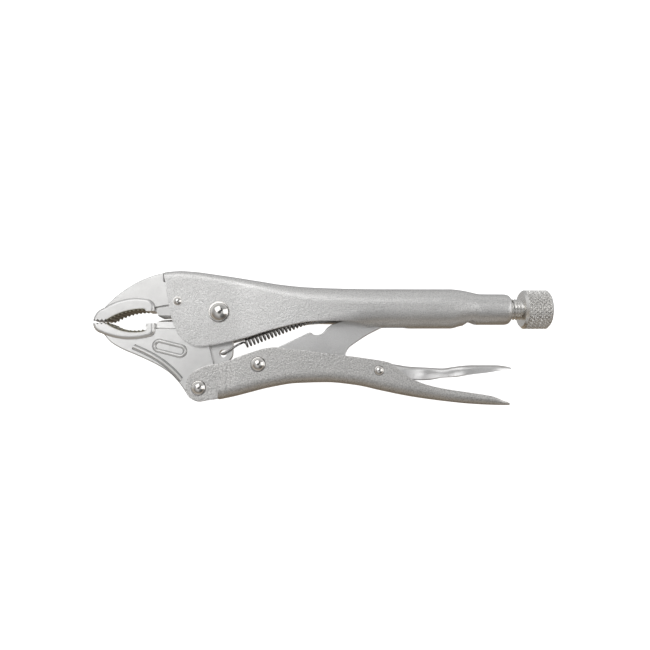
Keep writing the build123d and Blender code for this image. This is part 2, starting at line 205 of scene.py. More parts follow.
def even_shading(piece, smooth_angle=40.0):
    """Lets large flat faces keep their own normals beside small rounded edges."""
    for face in piece.data.polygons:
        face.use_smooth = True
    piece.data.set_sharp_from_angle(angle=math.radians(smooth_angle))
    step = piece.modifiers.new("even", "WEIGHTED_NORMAL")
    step.weight = 80
    step.keep_sharp = True
    bpy.context.view_layer.update()
    ready = piece.evaluated_get(bpy.context.evaluated_depsgraph_get())
    mesh = bpy.data.meshes.new_from_object(ready)
    piece.modifiers.clear()
    piece.data = mesh


def skin(name, rows, closed_rows=False, missing=lambda i, j: False):
    """A surface over rows of points; missing leaves faces out."""
    width = len(rows[0])
    points = [p for row in rows for p in row]
    faces = []
    for i in range(len(rows) - 1):
        for j in range(width - 1 + closed_rows):
            if not missing(i, j):
                k = (j + 1) % width
                faces.append((i * width + j, (i + 1) * width + j, (i + 1) * width + k, i * width + k))
    piece = new_piece(name, points, faces)
    work = bmesh.new()
    work.from_mesh(piece.data)
    bmesh.ops.remove_doubles(work, verts=work.verts, dist=0.00002)
    bmesh.ops.recalc_face_normals(work, faces=work.faces)
    loose = [v for v in work.verts if not v.link_faces]
    bmesh.ops.delete(work, geom=loose, context="VERTS")
    work.to_mesh(piece.data)
    work.free()
    return piece


def thicken(piece, thickness, edge_round, tip=None):
    """Gives a pressed skin its sheet thickness inwards and rounds the cut edges; a tip is thinned."""
    wall = piece.modifiers.new("wall", "SOLIDIFY")
    wall.thickness = thickness * MM
    wall.offset = -1.0
    if tip:
        start, end = tip
        group = piece.vertex_groups.new(name="wall")
        for corner in piece.data.vertices:
            past = (corner.co.x / MM - start) / (end - start)
            group.add([corner.index], 1.0 - 0.85 * min(1.0, max(0.0, past)), "REPLACE")
        wall.vertex_group = group.name
    edge = piece.modifiers.new("edge", "BEVEL")
    edge.width = edge_round * MM
    edge.segments = 2
    edge.limit_method = "ANGLE"
    edge.angle_limit = math.radians(55)
    edge.use_clamp_overlap = True
    return finish_mesh(piece)


def outward(piece, inside_point):
    """Flips an open skin if it faces the given inside point."""
    mesh = piece.data
    inside = Vector(inside_point) * MM
    facing = sum((p.center - inside).dot(p.normal) * p.area for p in mesh.polygons)
    if facing < 0:
        mesh.flip_normals()


screw_y = centre("screw_knob")[1]
handle_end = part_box("upper_handle")[1][0] / MM
TUBE_END = 71.0
NECK_START = 88.0

handle_top = smooth_between([(-88.4, 36.7), (-85.0, 37.15), (-79.0, 37.5), (-71.0, 37.0), (-61.0, 35.7),
                             (-49.0, 34.0), (-36.0, 31.9),
                             (-23.0, 29.9), (-9.0, 28.6), (8.0, 28.0), (32.0, 27.7), (TUBE_END, 27.7),
                             (77.0, 27.1), (83.0, 25.9), (NECK_START, 24.9), (handle_end, 24.8)])
handle_bottom = smooth_between([(-88.6, -9.0), (-49.0, -9.0), (-34.0, -7.0), (-14.0, -2.0), (8.0, 3.0),
                                (32.0, 5.5),
                                (TUBE_END, 5.5), (77.5, 7.0), (84.0, 7.6), (handle_end, 7.6)])
handle_half = smooth_between([(-88.6, 7.1), (-49.0, 7.15), (-34.0, 8.1), (-14.0, 9.2), (8.0, 9.8),
                              (32.0, 10.0),
                              (TUBE_END, 10.0), (79.0, 9.5), (NECK_START, 8.6), (handle_end, 8.6)])
handle_corner = smooth_between([(-88.6, 3.4), (-66.0, 4.0), (-49.0, 4.6), (-34.0, 5.6), (-14.0, 7.4),
                                (8.0, 8.8),
                                (32.0, 9.7), (TUBE_END, 9.9), (79.0, 9.3), (NECK_START, 8.5),
                                (handle_end, 8.5)])
belly = curve_through([(-88.3, 35.4), (-86.8, 28.0), (-85.3, 19.9), (-83.2, 10.6), (-78.8, 0.9),
                       (-70.5, -4.8),
                       (-61.0, -4.4), (-42.4, -0.2), (-29.9, 3.6), (-8.9, 8.4), (6.0, 8.8), (19.0, 8.1),
                       (27.0, 5.0)])
SLOT_END = 48.0
slot_half_width = 3.6
SEAM_HALF = 0.28
relief_start, relief_end = 78.0, 85.6


def belly_gap(x):
    """Half width of the slot, and behind it of the seam, in the closed belly."""
    slot_middle = SLOT_END - slot_half_width
    if x <= slot_middle:
        return slot_half_width
    if x < SLOT_END:
        return max(SEAM_HALF, math.sqrt(slot_half_width ** 2 - (x - slot_middle) ** 2))
    if relief_start < x < relief_end:
        return SEAM_HALF + 5.6 * math.sin(math.pi * (x - relief_start) / (relief_end - relief_start)) ** 0.6
    return SEAM_HALF


def pressed_dent(x, z, y):
    """How far the front of the wall is pressed in: a faint crease behind the jaw's seat."""
    if z < 5:
        return 0.0
    crease = 0.07 * math.exp(-((x + 67.5 + 0.06 * (y - 15)) / 2.4) ** 2)
    seat = 0.12 / (1 + math.exp((x + 68.0) / 2.2))
    return crease + seat


stations = list(belly)
x = 27.0
while x < handle_end - 4.0:
    x += 1.0
    stations.append((x, -99.0))
rolled = 3.4
for k in range(1, 9):
    stations.append((handle_end - 4.0 + 4.0 * math.sin(math.pi / 2 * k / 8), -99.0))
stations = [s for i, s in enumerate(stations) if i == 0 or s[0] > stations[i - 1][0] + 0.01]

HALF_COUNT = 52
rows = []
for x, low_edge in stations:
    shrink = 0.0
    if x > handle_end - rolled:
        shrink = 2.1 * (1 - math.sqrt(max(0.0, 1 - ((x - handle_end + rolled) / rolled) ** 2)))
    half = handle_half(x) - shrink
    corner = min(handle_corner(x), half - 0.05)
    path = half_section(handle_top(x) - shrink, handle_bottom(x) + shrink, half, corner)
    gap = belly_gap(x)
    middle = (handle_top(x) + handle_bottom(x)) / 2
    path = cut_path(path, lambda z, y: y < low_edge or (y < middle and z < gap))
    near = even_points(path, HALF_COUNT)
    near = [(z - pressed_dent(x, z, y), y) for z, y in near]
    row = [(x, y, mid_z - z) for z, y in reversed(near)] + [(x, y, mid_z + z) for z, y in near[1:]]
    rows.append(row)
upper_handle = skin("upper_handle_shell", rows)
outward(upper_handle, (10.0, 17.0, mid_z))
thicken(upper_handle, SHEET, 0.35)


def nodes_of(name):
    """A new material with its Principled shader and Object coordinates."""
    material = bpy.data.materials.new(name)
    material.use_nodes = True
    tree = material.node_tree
    shader = tree.nodes["Principled BSDF"]
    coords = tree.nodes.new("ShaderNodeTexCoord")
    return material, tree, shader, coords.outputs["Object"]


def noise(tree, coords, scale, detail=2.0, roughness=0.5):
    """A noise field on the piece, its scale in waves per metre."""
    node = tree.nodes.new("ShaderNodeTexNoise")
    node.inputs["Scale"].default_value = scale
    node.inputs["Detail"].default_value = detail
    node.inputs["Roughness"].default_value = roughness
    tree.links.new(coords, node.inputs["Vector"])
    return node.outputs["Fac"]


def ramp(tree, field, stops):
    """Colours or greys along a field."""
    node = tree.nodes.new("ShaderNodeValToRGB")
    ends = node.color_ramp.elements
    while len(ends) < len(stops):
        ends.new(0.5)
    for end, (place, colour) in zip(ends, stops):
        end.position = place
        end.color = (*colour, 1.0) if isinstance(colour, tuple) else (colour, colour, colour, 1.0)
    tree.links.new(field, node.inputs["Fac"])
    return node.outputs["Color"]


def bump(tree, shader, layers):
    """Stacks height fields given as (field, strength, distance in mm)."""
    last = None
    for field, strength, distance in layers:
        node = tree.nodes.new("ShaderNodeBump")
        node.inputs["Strength"].default_value = strength
        node.inputs["Distance"].default_value = distance * MM
        tree.links.new(field, node.inputs["Height"])
        if last is not None:
            tree.links.new(last, node.inputs["Normal"])
        last = node.outputs["Normal"]
    tree.links.new(last, shader.inputs["Normal"])


def plated_sheet(name, tone, grain, waves=1900.0):
    """Nickel over blasted sheet: warm grey metal with a sparkling grain of so many waves a metre."""
    material, tree, shader, coords = nodes_of(name)
    shader.inputs["Metallic"].default_value = 1.0
    fine = noise(tree, coords, waves, 3.0, 0.6)
    coarse = noise(tree, coords, 700.0, 2.0, 0.5)
    spread = 0.21 / grain
    cloud = noise(tree, coords, 45.0, 3.0, 0.5)
    colour = ramp(tree, fine, [(0.5 - spread, tuple(c * 0.80 for c in tone)), (0.5, tone),
                               (0.5 + spread, tuple(min(1.0, c * 1.12) for c in tone))])
    tree.links.new(colour, shader.inputs["Base Color"])
    rough = ramp(tree, cloud, [(0.3, 0.34), (0.7, 0.44)])
    tree.links.new(rough, shader.inputs["Roughness"])
    bump(tree, shader, [(coarse, 0.4 * grain, 0.22), (fine, 0.95 * grain, 0.14)])
    return material


pearl = plated_sheet("pearl_nickel", (0.85, 0.845, 0.835), 1.2, 1600.0)
upper_handle.data.materials.append(pearl)
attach(upper_handle, "upper_handle")
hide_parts("upper_handle")

# ---- Fixed jaw --------------------------------------------------------------------------------
# The fixed jaw is a drop forging: a 9 mm plate held in the front of the handle, with a wider
# nose that is rounded on its flanks and has straight teeth cut across it. Behind the teeth a
# land is ground down on each face to make one edge of the wire cutter.

JAW_HALF = 4.5
NOSE_HALF = 6.5
nose_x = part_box("fixed_jaw")[0][0] / MM
grip_y = 8.75
jaw_gap = 0.4


def nearest_distance(point, outline):
    """Distance from a point to a closed outline."""
    px, py = point
    best = 1e9
    for (ax, ay), (bx, by) in zip(outline, outline[1:] + outline[:1]):
        dx, dy = bx - ax, by - ay
        t = max(0.0, min(1.0, ((px - ax) * dx + (py - ay) * dy) / (dx * dx + dy * dy)))
        best = min(best, (px - ax - dx * t) ** 2 + (py - ay - dy * t) ** 2)
    return math.sqrt(best)


def inset_outline(outline, amount):
    """The outline moved inwards; points that would cross over meet in the corner instead."""
    if amount < 1e-4:
        return list(outline)
    count = len(outline)
    area = sum(outline[i - 1][0] * outline[i][1] - outline[i][0] * outline[i - 1][1] for i in range(count))
    side = 1 if area > 0 else -1
    moved = []
    for i in range(count):
        before = (Vector(outline[i]) - Vector(outline[i - 1])).normalized()
        after = (Vector(outline[(i + 1) % count]) - Vector(outline[i])).normalized()
        along = (before + after).normalized()
        reach = amount / max(0.5, along.dot(after))
        moved.append((outline[i][0] - side * along.y * reach, outline[i][1] + side * along.x * reach))
    good = [nearest_distance(p, outline) > amount * 0.985 for p in moved]
    if not any(good):
        return moved
    start = good.index(True)
    result = list(moved)
    i = start
    while i < start + count:
        if good[i % count]:
            i += 1
            continue
        last = i
        while not good[last % count]:
            last += 1
        a, b = moved[(i - 1) % count], moved[last % count]
        for k in range(i, last):
            result[k % count] = ((a[0] + b[0]) / 2, (a[1] + b[1]) / 2)
        i = last
    return result


def barrel(name, outline, layers):
    """A closed body whose flanks are rounded: layers are (height, inset) from bottom to top."""
    rings = [[(x, y, mid_z + z) for x, y in inset_outline(outline, inset)] for z, inset in layers]
    count = len(outline)
    points = [p for ring in rings for p in ring]
    faces = []
    for r in range(len(rings) - 1):
        for i in range(count):
            k = (i + 1) % count
            faces.append((r * count + i, r * count + k, (r + 1) * count + k, (r + 1) * count + i))
    faces.append(tuple(reversed(range(count))))
    faces.append(tuple(range((len(rings) - 1) * count, len(rings) * count)))
    return close_seams(new_piece(name, points, faces), 0.01)


def prism(name, outline, low, high, round_edge=0.0, steps=3):
    """A closed plate of the given outline between two heights, its edges rounded."""
    if not round_edge:
        return barrel(name, outline, [(low, 0.0), (high, 0.0)])
    top = []
    for k in range(steps + 1):
        turn = math.pi / 2 * k / steps
        top.append((round_edge * math.sin(turn), round_edge * (1 - math.cos(turn))))
    layers = [(low + round_edge - rise, inset) for rise, inset in reversed(top)]
    layers += [(high - round_edge + rise, inset) for rise, inset in top]
    return barrel(name, outline, layers)


def combine(piece, others, operation, crossing=False):
    """Joins solids to a piece or cuts them from it, then removes them."""
    for other in others:
        step = piece.modifiers.new("solid", "BOOLEAN")
        step.operation = operation
        step.solver = "EXACT"
        step.use_self = crossing
        step.object = other
        finish_mesh(piece)
        bpy.data.objects.remove(other)
    return piece


def flank_layers(half, round_size, steps=5):
    """Layers of a nose whose two flanks are rounded over round_size."""
    top = []
    for k in range(steps + 1):
        turn = math.pi / 2 * k / steps
        top.append((half - round_size + round_size * math.sin(turn), round_size * (1 - math.cos(turn))))
    return [(-z, inset) for z, inset in reversed(top)] + top


def arc_centre(start, through, end):
    """Centre of the circle through three points."""
    (ax, ay), (bx, by), (cx, cy) = start, through, end
    d = 2 * (ax * (by - cy) + bx * (cy - ay) + cx * (ay - by))
    a2, b2, c2 = ax * ax + ay * ay, bx * bx + by * by, cx * cx + cy * cy
    return ((a2 * (by - cy) + b2 * (cy - ay) + c2 * (ay - by)) / d,
            (a2 * (cx - bx) + b2 * (ax - cx) + c2 * (bx - ax)) / d)


def arc_points(start, through, end, step=0.6):
    """Points on the circle through three places, from start to end."""
    ux, uy = arc_centre(start, through, end)
    radius = math.dist((ux, uy), start)
    turns = [math.atan2(y - uy, x - ux) for x, y in (start, through, end)]
    whole = (turns[2] - turns[0]) % (2 * math.pi)
    if (turns[1] - turns[0]) % (2 * math.pi) > whole:
        whole -= 2 * math.pi
    count = max(2, round(abs(whole) * radius / step))
    return [(ux + radius * math.cos(turns[0] + whole * k / count),
             uy + radius * math.sin(turns[0] + whole * k / count))
            for k in range(count + 1)]


def line_points(start, end, step=0.6):
    """Points on a straight run."""
    count = max(1, round(math.dist(start, end) / step))
    return [tuple(a + (b - a) * k / count for a, b in zip(start, end)) for k in range(count + 1)]


def chain(*runs):
    """One closed outline from runs of points, without repeated ends."""
    result = []
    for run in runs:
        for p in run:
            if not result or math.dist(result[-1], p) > 0.05:
                result.append(p)
    if math.dist(result[0], result[-1]) < 0.05:
        result.pop()
    return result


class Nodes:
    """Builds a Geometry Nodes tree with named inputs."""

    def __init__(self, name, inputs):
        self.tree = bpy.data.node_groups.new(name, "GeometryNodeTree")
        face = self.tree.interface
        face.new_socket("Geometry", in_out="INPUT", socket_type="NodeSocketGeometry")
        self.ids = {}
        for label, kind, value in inputs:
            socket = face.new_socket(label, in_out="INPUT", socket_type=kind)
            if value is not None:
                socket.default_value = value
            self.ids[label] = socket.identifier
        face.new_socket("Geometry", in_out="OUTPUT", socket_type="NodeSocketGeometry")
        self.entry = self.tree.nodes.new("NodeGroupInput")
        self.exit = self.tree.nodes.new("NodeGroupOutput")

    def add(self, kind, links=None, **settings):
        """A node with its settings; links map an input's name or number to a value or a socket."""
        node = self.tree.nodes.new(kind)
        for key, value in settings.items():
            setattr(node, key, value)
        for key, value in (links or {}).items():
            socket = node.inputs[key]
            if isinstance(value, bpy.types.NodeSocket):
                self.tree.links.new(value, socket)
            else:
                socket.default_value = value
        return node

    def math(self, operation, a, b=0.0, c=0.0):
        """One step of arithmetic."""
        return self.add("ShaderNodeMath", {0: a, 1: b, 2: c}, operation=operation).outputs[0]

    def close(self, geometry):
        """Ends the tree with real geometry in the piece's material."""
        real = self.add("GeometryNodeRealizeInstances", {"Geometry": geometry}).outputs[0]
        painted = self.add("GeometryNodeSetMaterial",
                           {"Geometry": real, "Material": self.entry.outputs["Material"]}).outputs[0]
        self.tree.links.new(painted, self.exit.inputs[0])

    def apply(self, piece, values, smooth_angle=40.0):
        """Runs the tree on a piece and keeps the result as its mesh."""
        step = piece.modifiers.new("made", "NODES")
        step.node_group = self.tree
        for label, value in values.items():
            step[self.ids[label]] = value
        return finish_mesh(piece, smooth_angle)


def teeth_tree():
    """Square bars laid across a line at a fixed pitch, one corner down: the cutter of V teeth."""
    t = Nodes("tooth_cutters", [("Pitch", "NodeSocketFloat", 0.002), ("Depth", "NodeSocketFloat", 0.001),
                                ("Width", "NodeSocketFloat", 0.02),
                                ("Material", "NodeSocketMaterial", None)])
    line = t.add("GeometryNodeMeshToCurve", {"Mesh": t.entry.outputs[0]}).outputs[0]
    spaced = t.add("GeometryNodeResampleCurve", {"Curve": line, "Length": t.entry.outputs["Pitch"]},
                   mode="LENGTH")
    bar = t.add("GeometryNodeMeshCylinder", {"Vertices": 4, "Radius": t.entry.outputs["Depth"],
                                             "Depth": t.entry.outputs["Width"]}).outputs[0]
    along = t.add("GeometryNodeInputTangent").outputs[0]
    turn = t.add("FunctionNodeAlignRotationToVector", {"Vector": along}, axis="X", pivot_axis="Z").outputs[0]
    bars = t.add("GeometryNodeInstanceOnPoints",
                 {"Points": spaced.outputs[0], "Instance": bar, "Rotation": turn})
    t.close(bars.outputs[0])
    return t


tooth_bars = teeth_tree()
TOOTH_PITCH = 2.15
TOOTH_DEPTH = 1.35


def line_piece(name, points, closed=False):
    """A bare line of edges for a tree to work on; flat points lie in the middle plane."""
    mesh = bpy.data.meshes.new(name)
    edges = [(i, i + 1) for i in range(len(points) - 1)]
    if closed:
        edges.append((len(points) - 1, 0))
    mesh.from_pydata([tuple(c * MM for c in (*p, mid_z)[:3]) for p in points], edges, [])
    piece = bpy.data.objects.new(name, mesh)
    bpy.context.scene.collection.objects.link(piece)
    return piece


def cut_teeth(jaw, bite):
    """Cuts the row of teeth along the bite line."""
    bars = line_piece("tooth_bars", bite)
    tooth_bars.apply(bars, {"Pitch": TOOTH_PITCH * MM, "Depth": TOOTH_DEPTH * MM, "Width": 0.03,
                            "Material": pearl})
    combine(jaw, [bars], "DIFFERENCE", True)


def cutter_land(name, start, end, edge_y, side):
    """What is ground away on one face beside the cutting edge, from the step line to the edge."""
    out = 8.0
    points = []
    for x, line_y in (start, end):
        toward = 1 if edge_y > line_y else -1
        section = [(line_y, out), (line_y, JAW_HALF - 1.9), (line_y + toward * 0.35, JAW_HALF - 1.9),
                   (line_y + toward * 0.75, JAW_HALF - 0.8), (edge_y - toward * 1.3, JAW_HALF - 0.9),
                   (edge_y + toward * 0.3, 0.8),
                   (edge_y + toward * 1.5, 0.5), (edge_y + toward * 1.5, out)]
        points += [(x, y, mid_z + side * z) for y, z in section]
    count = len(points) // 2
    faces = [tuple(range(count)), tuple(range(2 * count - 1, count - 1, -1))]
    faces += [(i, i + count, (i + 1) % count + count, (i + 1) % count) for i in range(count)]
    return close_seams(new_piece(name, points, faces))


pivot = centre("main_pivot_rivet")
HEAD_R = 12.5
MOUTH_EXTRA = 2.2


def moved(point, rise):
    """A point moved up or down."""
    return (point[0], point[1] + rise)


shoulder_x = -88.6
fixed_bite = [(-117.8, grip_y + jaw_gap / 2), (-109.2, 13.0), (-98.6, 14.5)]
fixed_plate = chain(
    curve_through([(-121.3, 16.9), (-119.1, 19.3), (-114.9, 23.3), (-108.4, 28.2), (-101.8, 32.0),
                   (-95.2, 34.7),
                   (shoulder_x, 36.5)]),
    [(shoulder_x, 36.5), (shoulder_x, 31.4), (-74.0, 31.4), (-72.0, 28.0)],
    arc_points((-71.0, 25.0), (-70.4, 16.0), (-68.9, 9.0), 1.5)[:6],
    [(-76.0, 11.7), (-83.9, 11.2), (-89.0, 10.8), (-91.4, 12.1), (-92.4, 14.4), (-98.6, 16.1),
     (-121.3, 15.5)])
fixed_jaw = prism("fixed_jaw_forging", fixed_plate, -JAW_HALF, JAW_HALF, 0.7)
fixed_nose_outline = chain(
    arc_points((nose_x, grip_y + jaw_gap / 2), (-125.6, 13.2), (-121.2, 16.6)),
    arc_points((-121.2, 16.6), (-108.4, 21.8), (-96.4, 21.4)),
    arc_points((-96.4, 21.4), (-93.7, 19.2), (-93.0, 14.8)),
    line_points((-93.0, 14.8), (-93.0, 14.8 - MOUTH_EXTRA)),
    line_points((-93.0, 14.8 - MOUTH_EXTRA), moved(fixed_bite[2], -MOUTH_EXTRA)),
    arc_points(*[moved(p, -MOUTH_EXTRA) for p in reversed(fixed_bite)]),
    line_points(moved(fixed_bite[0], -MOUTH_EXTRA), (nose_x, fixed_bite[0][1] - MOUTH_EXTRA)),
    line_points((nose_x, fixed_bite[0][1] - MOUTH_EXTRA), (nose_x, fixed_bite[0][1])))
fixed_nose = barrel("fixed_nose", fixed_nose_outline, flank_layers(NOSE_HALF, 1.9))
fixed_mouth = chain([(nose_x - 3, fixed_bite[0][1])], arc_points(*fixed_bite),
                    [(-93.0, 14.8), (-92.9, 2.0), (nose_x - 3, 2.0)])
combine(fixed_nose, [prism("mouth", fixed_mouth, -9, 9)], "DIFFERENCE")
combine(fixed_jaw, [fixed_nose], "UNION")
combine(fixed_jaw, [cutter_land("land", (-93.0, 17.2), (-80.0, 19.6), 11.2, side) for side in (1, -1)],
        "DIFFERENCE")
clearance = [(pivot[0] + (HEAD_R + 0.4) * math.cos(a), pivot[1] + (HEAD_R + 0.4) * math.sin(a))
             for a in (2 * math.pi * k / 96 for k in range(96))]
combine(fixed_jaw, [prism("clearance", clearance, -9, 9)], "DIFFERENCE")
cut_teeth(fixed_jaw, line_points((nose_x + 0.9, fixed_bite[0][1]),
                                 fixed_bite[0]) + arc_points(*fixed_bite)[1:])


def painted_teeth_shade(tree, shader, coords, bite, colour):
    """Paints shade into the metal between the teeth: a dark band in the tooth hollows, where shade falls."""
    middle = arc_centre(*bite)
    radius = math.dist(middle, bite[0])
    flat = tree.nodes.new("ShaderNodeVectorMath")
    flat.operation = "MULTIPLY"
    flat.inputs[1].default_value = (1.0, 1.0, 0.0)
    tree.links.new(coords, flat.inputs[0])
    away = tree.nodes.new("ShaderNodeVectorMath")
    away.operation = "DISTANCE"
    away.inputs[1].default_value = (middle[0] * MM, middle[1] * MM, 0.0)
    tree.links.new(flat.outputs[0], away.inputs[0])
    depth = tree.nodes.new("ShaderNodeMapRange")
    depth.inputs["From Min"].default_value = radius * MM
    depth.inputs["From Max"].default_value = (radius + 2.4) * MM
    tree.links.new(away.outputs["Value"], depth.inputs["Value"])
    shade = ramp(tree, depth.outputs[0],
                 [(0.0, (0.62, 0.60, 0.54)), (0.25, (0.30, 0.28, 0.22)), (0.55, (0.10, 0.09, 0.06)),
                                          (0.66, (0.75, 0.74, 0.70)), (0.9, (1.0, 1.0, 1.0))])
    place = tree.nodes.new("ShaderNodeSeparateXYZ")
    tree.links.new(coords, place.inputs[0])
    along = tree.nodes.new("ShaderNodeMapRange")
    along.inputs["From Min"].default_value = (bite[2][0] + 1.5) * MM
    along.inputs["From Max"].default_value = (bite[2][0] - 0.5) * MM
    tree.links.new(place.outputs[0], along.inputs["Value"])
    mix = tree.nodes.new("ShaderNodeMix")
    mix.data_type = "RGBA"
    mix.blend_type = "MULTIPLY"
    tree.links.new(along.outputs[0], mix.inputs["Factor"])
    tree.links.new(colour, mix.inputs[6])
    tree.links.new(shade, mix.inputs[7])
    tree.links.new(mix.outputs[2], shader.inputs["Base Color"])


def painted_groove_shade(tree, coords, colour):
    """Paints shade just under a forging's two flat faces: darker colour in grooves, steps and rounded edges,
    where shade falls.
    """
    place = tree.nodes.new("ShaderNodeSeparateXYZ")
    tree.links.new(coords, place.inputs[0])
    away = tree.nodes.new("ShaderNodeMath")
    away.operation = "SUBTRACT"
    away.inputs[1].default_value = mid_z * MM
    tree.links.new(place.outputs[2], away.inputs[0])
    level = tree.nodes.new("ShaderNodeMath")
    level.operation = "ABSOLUTE"
    tree.links.new(away.outputs[0], level.inputs[0])
    depth = tree.nodes.new("ShaderNodeMapRange")
    depth.inputs["From Min"].default_value = JAW_HALF * MM
    depth.inputs["From Max"].default_value = (JAW_HALF - 1.0) * MM
    tree.links.new(level.outputs[0], depth.inputs["Value"])
    shade = ramp(tree, depth.outputs[0], [(0.03, 1.0), (0.18, 0.66), (0.6, 0.5), (0.72, 1.0)])
    mix = tree.nodes.new("ShaderNodeMix")
    mix.data_type = "RGBA"
    mix.blend_type = "MULTIPLY"
    mix.inputs["Factor"].default_value = 1.0
    tree.links.new(colour, mix.inputs[6])
    tree.links.new(shade, mix.inputs[7])
    return mix.outputs[2]


def forged_steel(name, tone, bite):
    """Nickel over a tumbled forging: smoother than the sheet, with soft dents."""
    material, tree, shader, coords = nodes_of(name)
    shader.inputs["Metallic"].default_value = 1.0
    fine = noise(tree, coords, 1500.0, 3.0, 0.55)
    dents = noise(tree, coords, 160.0, 2.0, 0.5)
    colour = ramp(tree, dents, [(0.3, tuple(c * 0.93 for c in tone)), (0.7, tone)])
    # Painted shade: the colour is darkened in the tooth hollows and just under the two flat faces.
    painted_teeth_shade(tree, shader, coords, bite, painted_groove_shade(tree, coords, colour))
    rough = ramp(tree, fine, [(0.3, 0.30), (0.7, 0.42)])
    tree.links.new(rough, shader.inputs["Roughness"])
    bump(tree, shader, [(dents, 0.25, 0.25), (fine, 0.30, 0.06)])
    return material


fixed_metal = forged_steel("forged_nickel", (0.84, 0.835, 0.825), fixed_bite)
fixed_jaw.data.materials.clear()
fixed_jaw.data.materials.append(fixed_metal)
even_shading(fixed_jaw)
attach(fixed_jaw, "upper_handle")
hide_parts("fixed_jaw")

# ---- Moving jaw -------------------------------------------------------------------------------
# The moving jaw is the second forging: toothed nose, cutter land, the round head that turns on
# the main rivet, a foot for the lower handle and a thinner tab that takes the spring's hook. A
# raised rib follows its lower edge and an empty oval frame stands on each face.

foot = centre("lever_pivot_rivet")
FOOT_R = 7.5
TAB_HALF = 2.4
hook_hole = (-55.4, -8.6)
HOLE_R = 2.15
moving_bite = [(-117.8, grip_y - jaw_gap / 2), (-108.2, 4.7), (-98.1, 4.9)]


def ring_arc(middle, radius, start, end, step=1.0):
    """Points on a circle between two angles in degrees."""
    count = max(2, round(abs(math.radians(end - start)) * radius / step))
    angles = [math.radians(start + (end - start) * k / count) for k in range(count + 1)]
    return [(middle[0] + radius * math.cos(a), middle[1] + radius * math.sin(a)) for a in angles]


moving_plate = chain(
    curve_through([(-121.0, 1.9), (-118.9, -0.6), (-116.4, -2.9), (-110.2, -6.4), (-103.5, -9.2),
                   (-96.4, -12.3),
                   (-90.4, -15.3), (-84.3, -19.2), (-81.2, -22.1), (-77.7, -26.1), (-74.9, -30.2)]),
    ring_arc(foot, FOOT_R, 200, 374),
    curve_through([(-60.2, -25.0), (-59.2, -19.0), (-57.6, -15.0), (-55.2, -13.6), (-52.4, -12.4),
                   (-50.6, -10.2),
                   (-50.2, -7.4)]),
    [(-50.2, -7.4), (-50.2, 3.2)],
    ring_arc(pivot, HEAD_R, -56.0, 196.0),
    [(-74.0, 10.4), (-83.4, 10.5), (-89.2, 10.0), (-91.6, 9.0), (-92.6, 7.2), (-98.1, 3.3), (-120.4, 3.1)])
moving_jaw = prism("moving_jaw_forging", moving_plate, -JAW_HALF, JAW_HALF, 0.7)
moving_nose_outline = chain(
    arc_points((nose_x, grip_y - jaw_gap / 2), (-125.9, 4.9), (-122.3, 2.5)),
    arc_points((-122.3, 2.5), (-108.2, -0.9), (-95.6, 0.5)),
    arc_points((-95.6, 0.5), (-93.2, 2.1), (-92.6, 4.5)),
    line_points((-92.6, 4.5), (-92.6, 8.0 + MOUTH_EXTRA)),
    line_points((-92.6, 8.0 + MOUTH_EXTRA), (-98.1, 8.0 + MOUTH_EXTRA)),
    line_points((-98.1, 8.0 + MOUTH_EXTRA), moved(moving_bite[2], MOUTH_EXTRA)),
    arc_points(*[moved(p, MOUTH_EXTRA) for p in reversed(moving_bite)]),
    line_points(moved(moving_bite[0], MOUTH_EXTRA), (nose_x, moving_bite[0][1] + MOUTH_EXTRA)),
    line_points((nose_x, moving_bite[0][1] + MOUTH_EXTRA), (nose_x, moving_bite[0][1])))
moving_nose = barrel("moving_nose", moving_nose_outline, flank_layers(NOSE_HALF, 1.9))
moving_mouth = chain([(nose_x - 3, moving_bite[0][1])], arc_points(*moving_bite),
                     [(-96.9, 7.8), (-92.5, 8.0), (-92.5, 16.0), (nose_x - 3, 16.0)])
combine(moving_nose, [prism("mouth", moving_mouth, -9, 9)], "DIFFERENCE")
combine(moving_jaw, [moving_nose], "UNION")
combine(moving_jaw, [cutter_land("land", (-92.5, 4.9), (-76.0, 4.5), 10.2, side) for side in (1, -1)],
        "DIFFERENCE")
tab_cut = [(-64.6, 1.9), (-60.4, -14.0), (-59.8, -18.0), (-46.0, -18.0), (-46.0, 1.0)]
tab_cut += ring_arc(pivot, HEAD_R + 0.05, -80, -125, 1.5)
for side in (1, -1):
    tab_relief = prism("tab_relief", tab_cut, min(side * TAB_HALF, side * 9), max(side * TAB_HALF, side * 9))
    combine(moving_jaw, [tab_relief], "DIFFERENCE")
hook_bore = prism("hook_bore", ring_arc(hook_hole, HOLE_R, 0, 350, 0.4), -9, 9)
combine(moving_jaw, [hook_bore], "DIFFERENCE")
cut_teeth(moving_jaw, line_points((nose_x + 0.9, moving_bite[0][1]),
                                  moving_bite[0]) + arc_points(*moving_bite)[1:])


def sweep_tree():
    """A round bar or wire of named radius that follows a line."""
    t = Nodes("round_along_line", [("Radius", "NodeSocketFloat", 0.0005), ("Around", "NodeSocketInt", 12),
                                   ("Material", "NodeSocketMaterial", None)])
    path = t.add("GeometryNodeMeshToCurve", {"Mesh": t.entry.outputs[0]}).outputs[0]
    ring = t.add("GeometryNodeCurvePrimitiveCircle", {"Resolution": t.entry.outputs["Around"],
                                                      "Radius": t.entry.outputs["Radius"]}).outputs[0]
    t.close(t.add("GeometryNodeCurveToMesh",
                  {"Curve": path, "Profile Curve": ring, "Fill Caps": True}).outputs[0])
    return t


round_along = sweep_tree()


def bead(name, path, radius, sink, side, closed=False):
    """A half-sunk round bead along a path on one face of the jaw."""
    piece = line_piece(name, [(x, y, mid_z + side * (JAW_HALF - sink)) for x, y in path], closed)
    round_along.apply(piece, {"Radius": radius * MM, "Around": 12, "Material": pearl})
    return close_seams(piece)


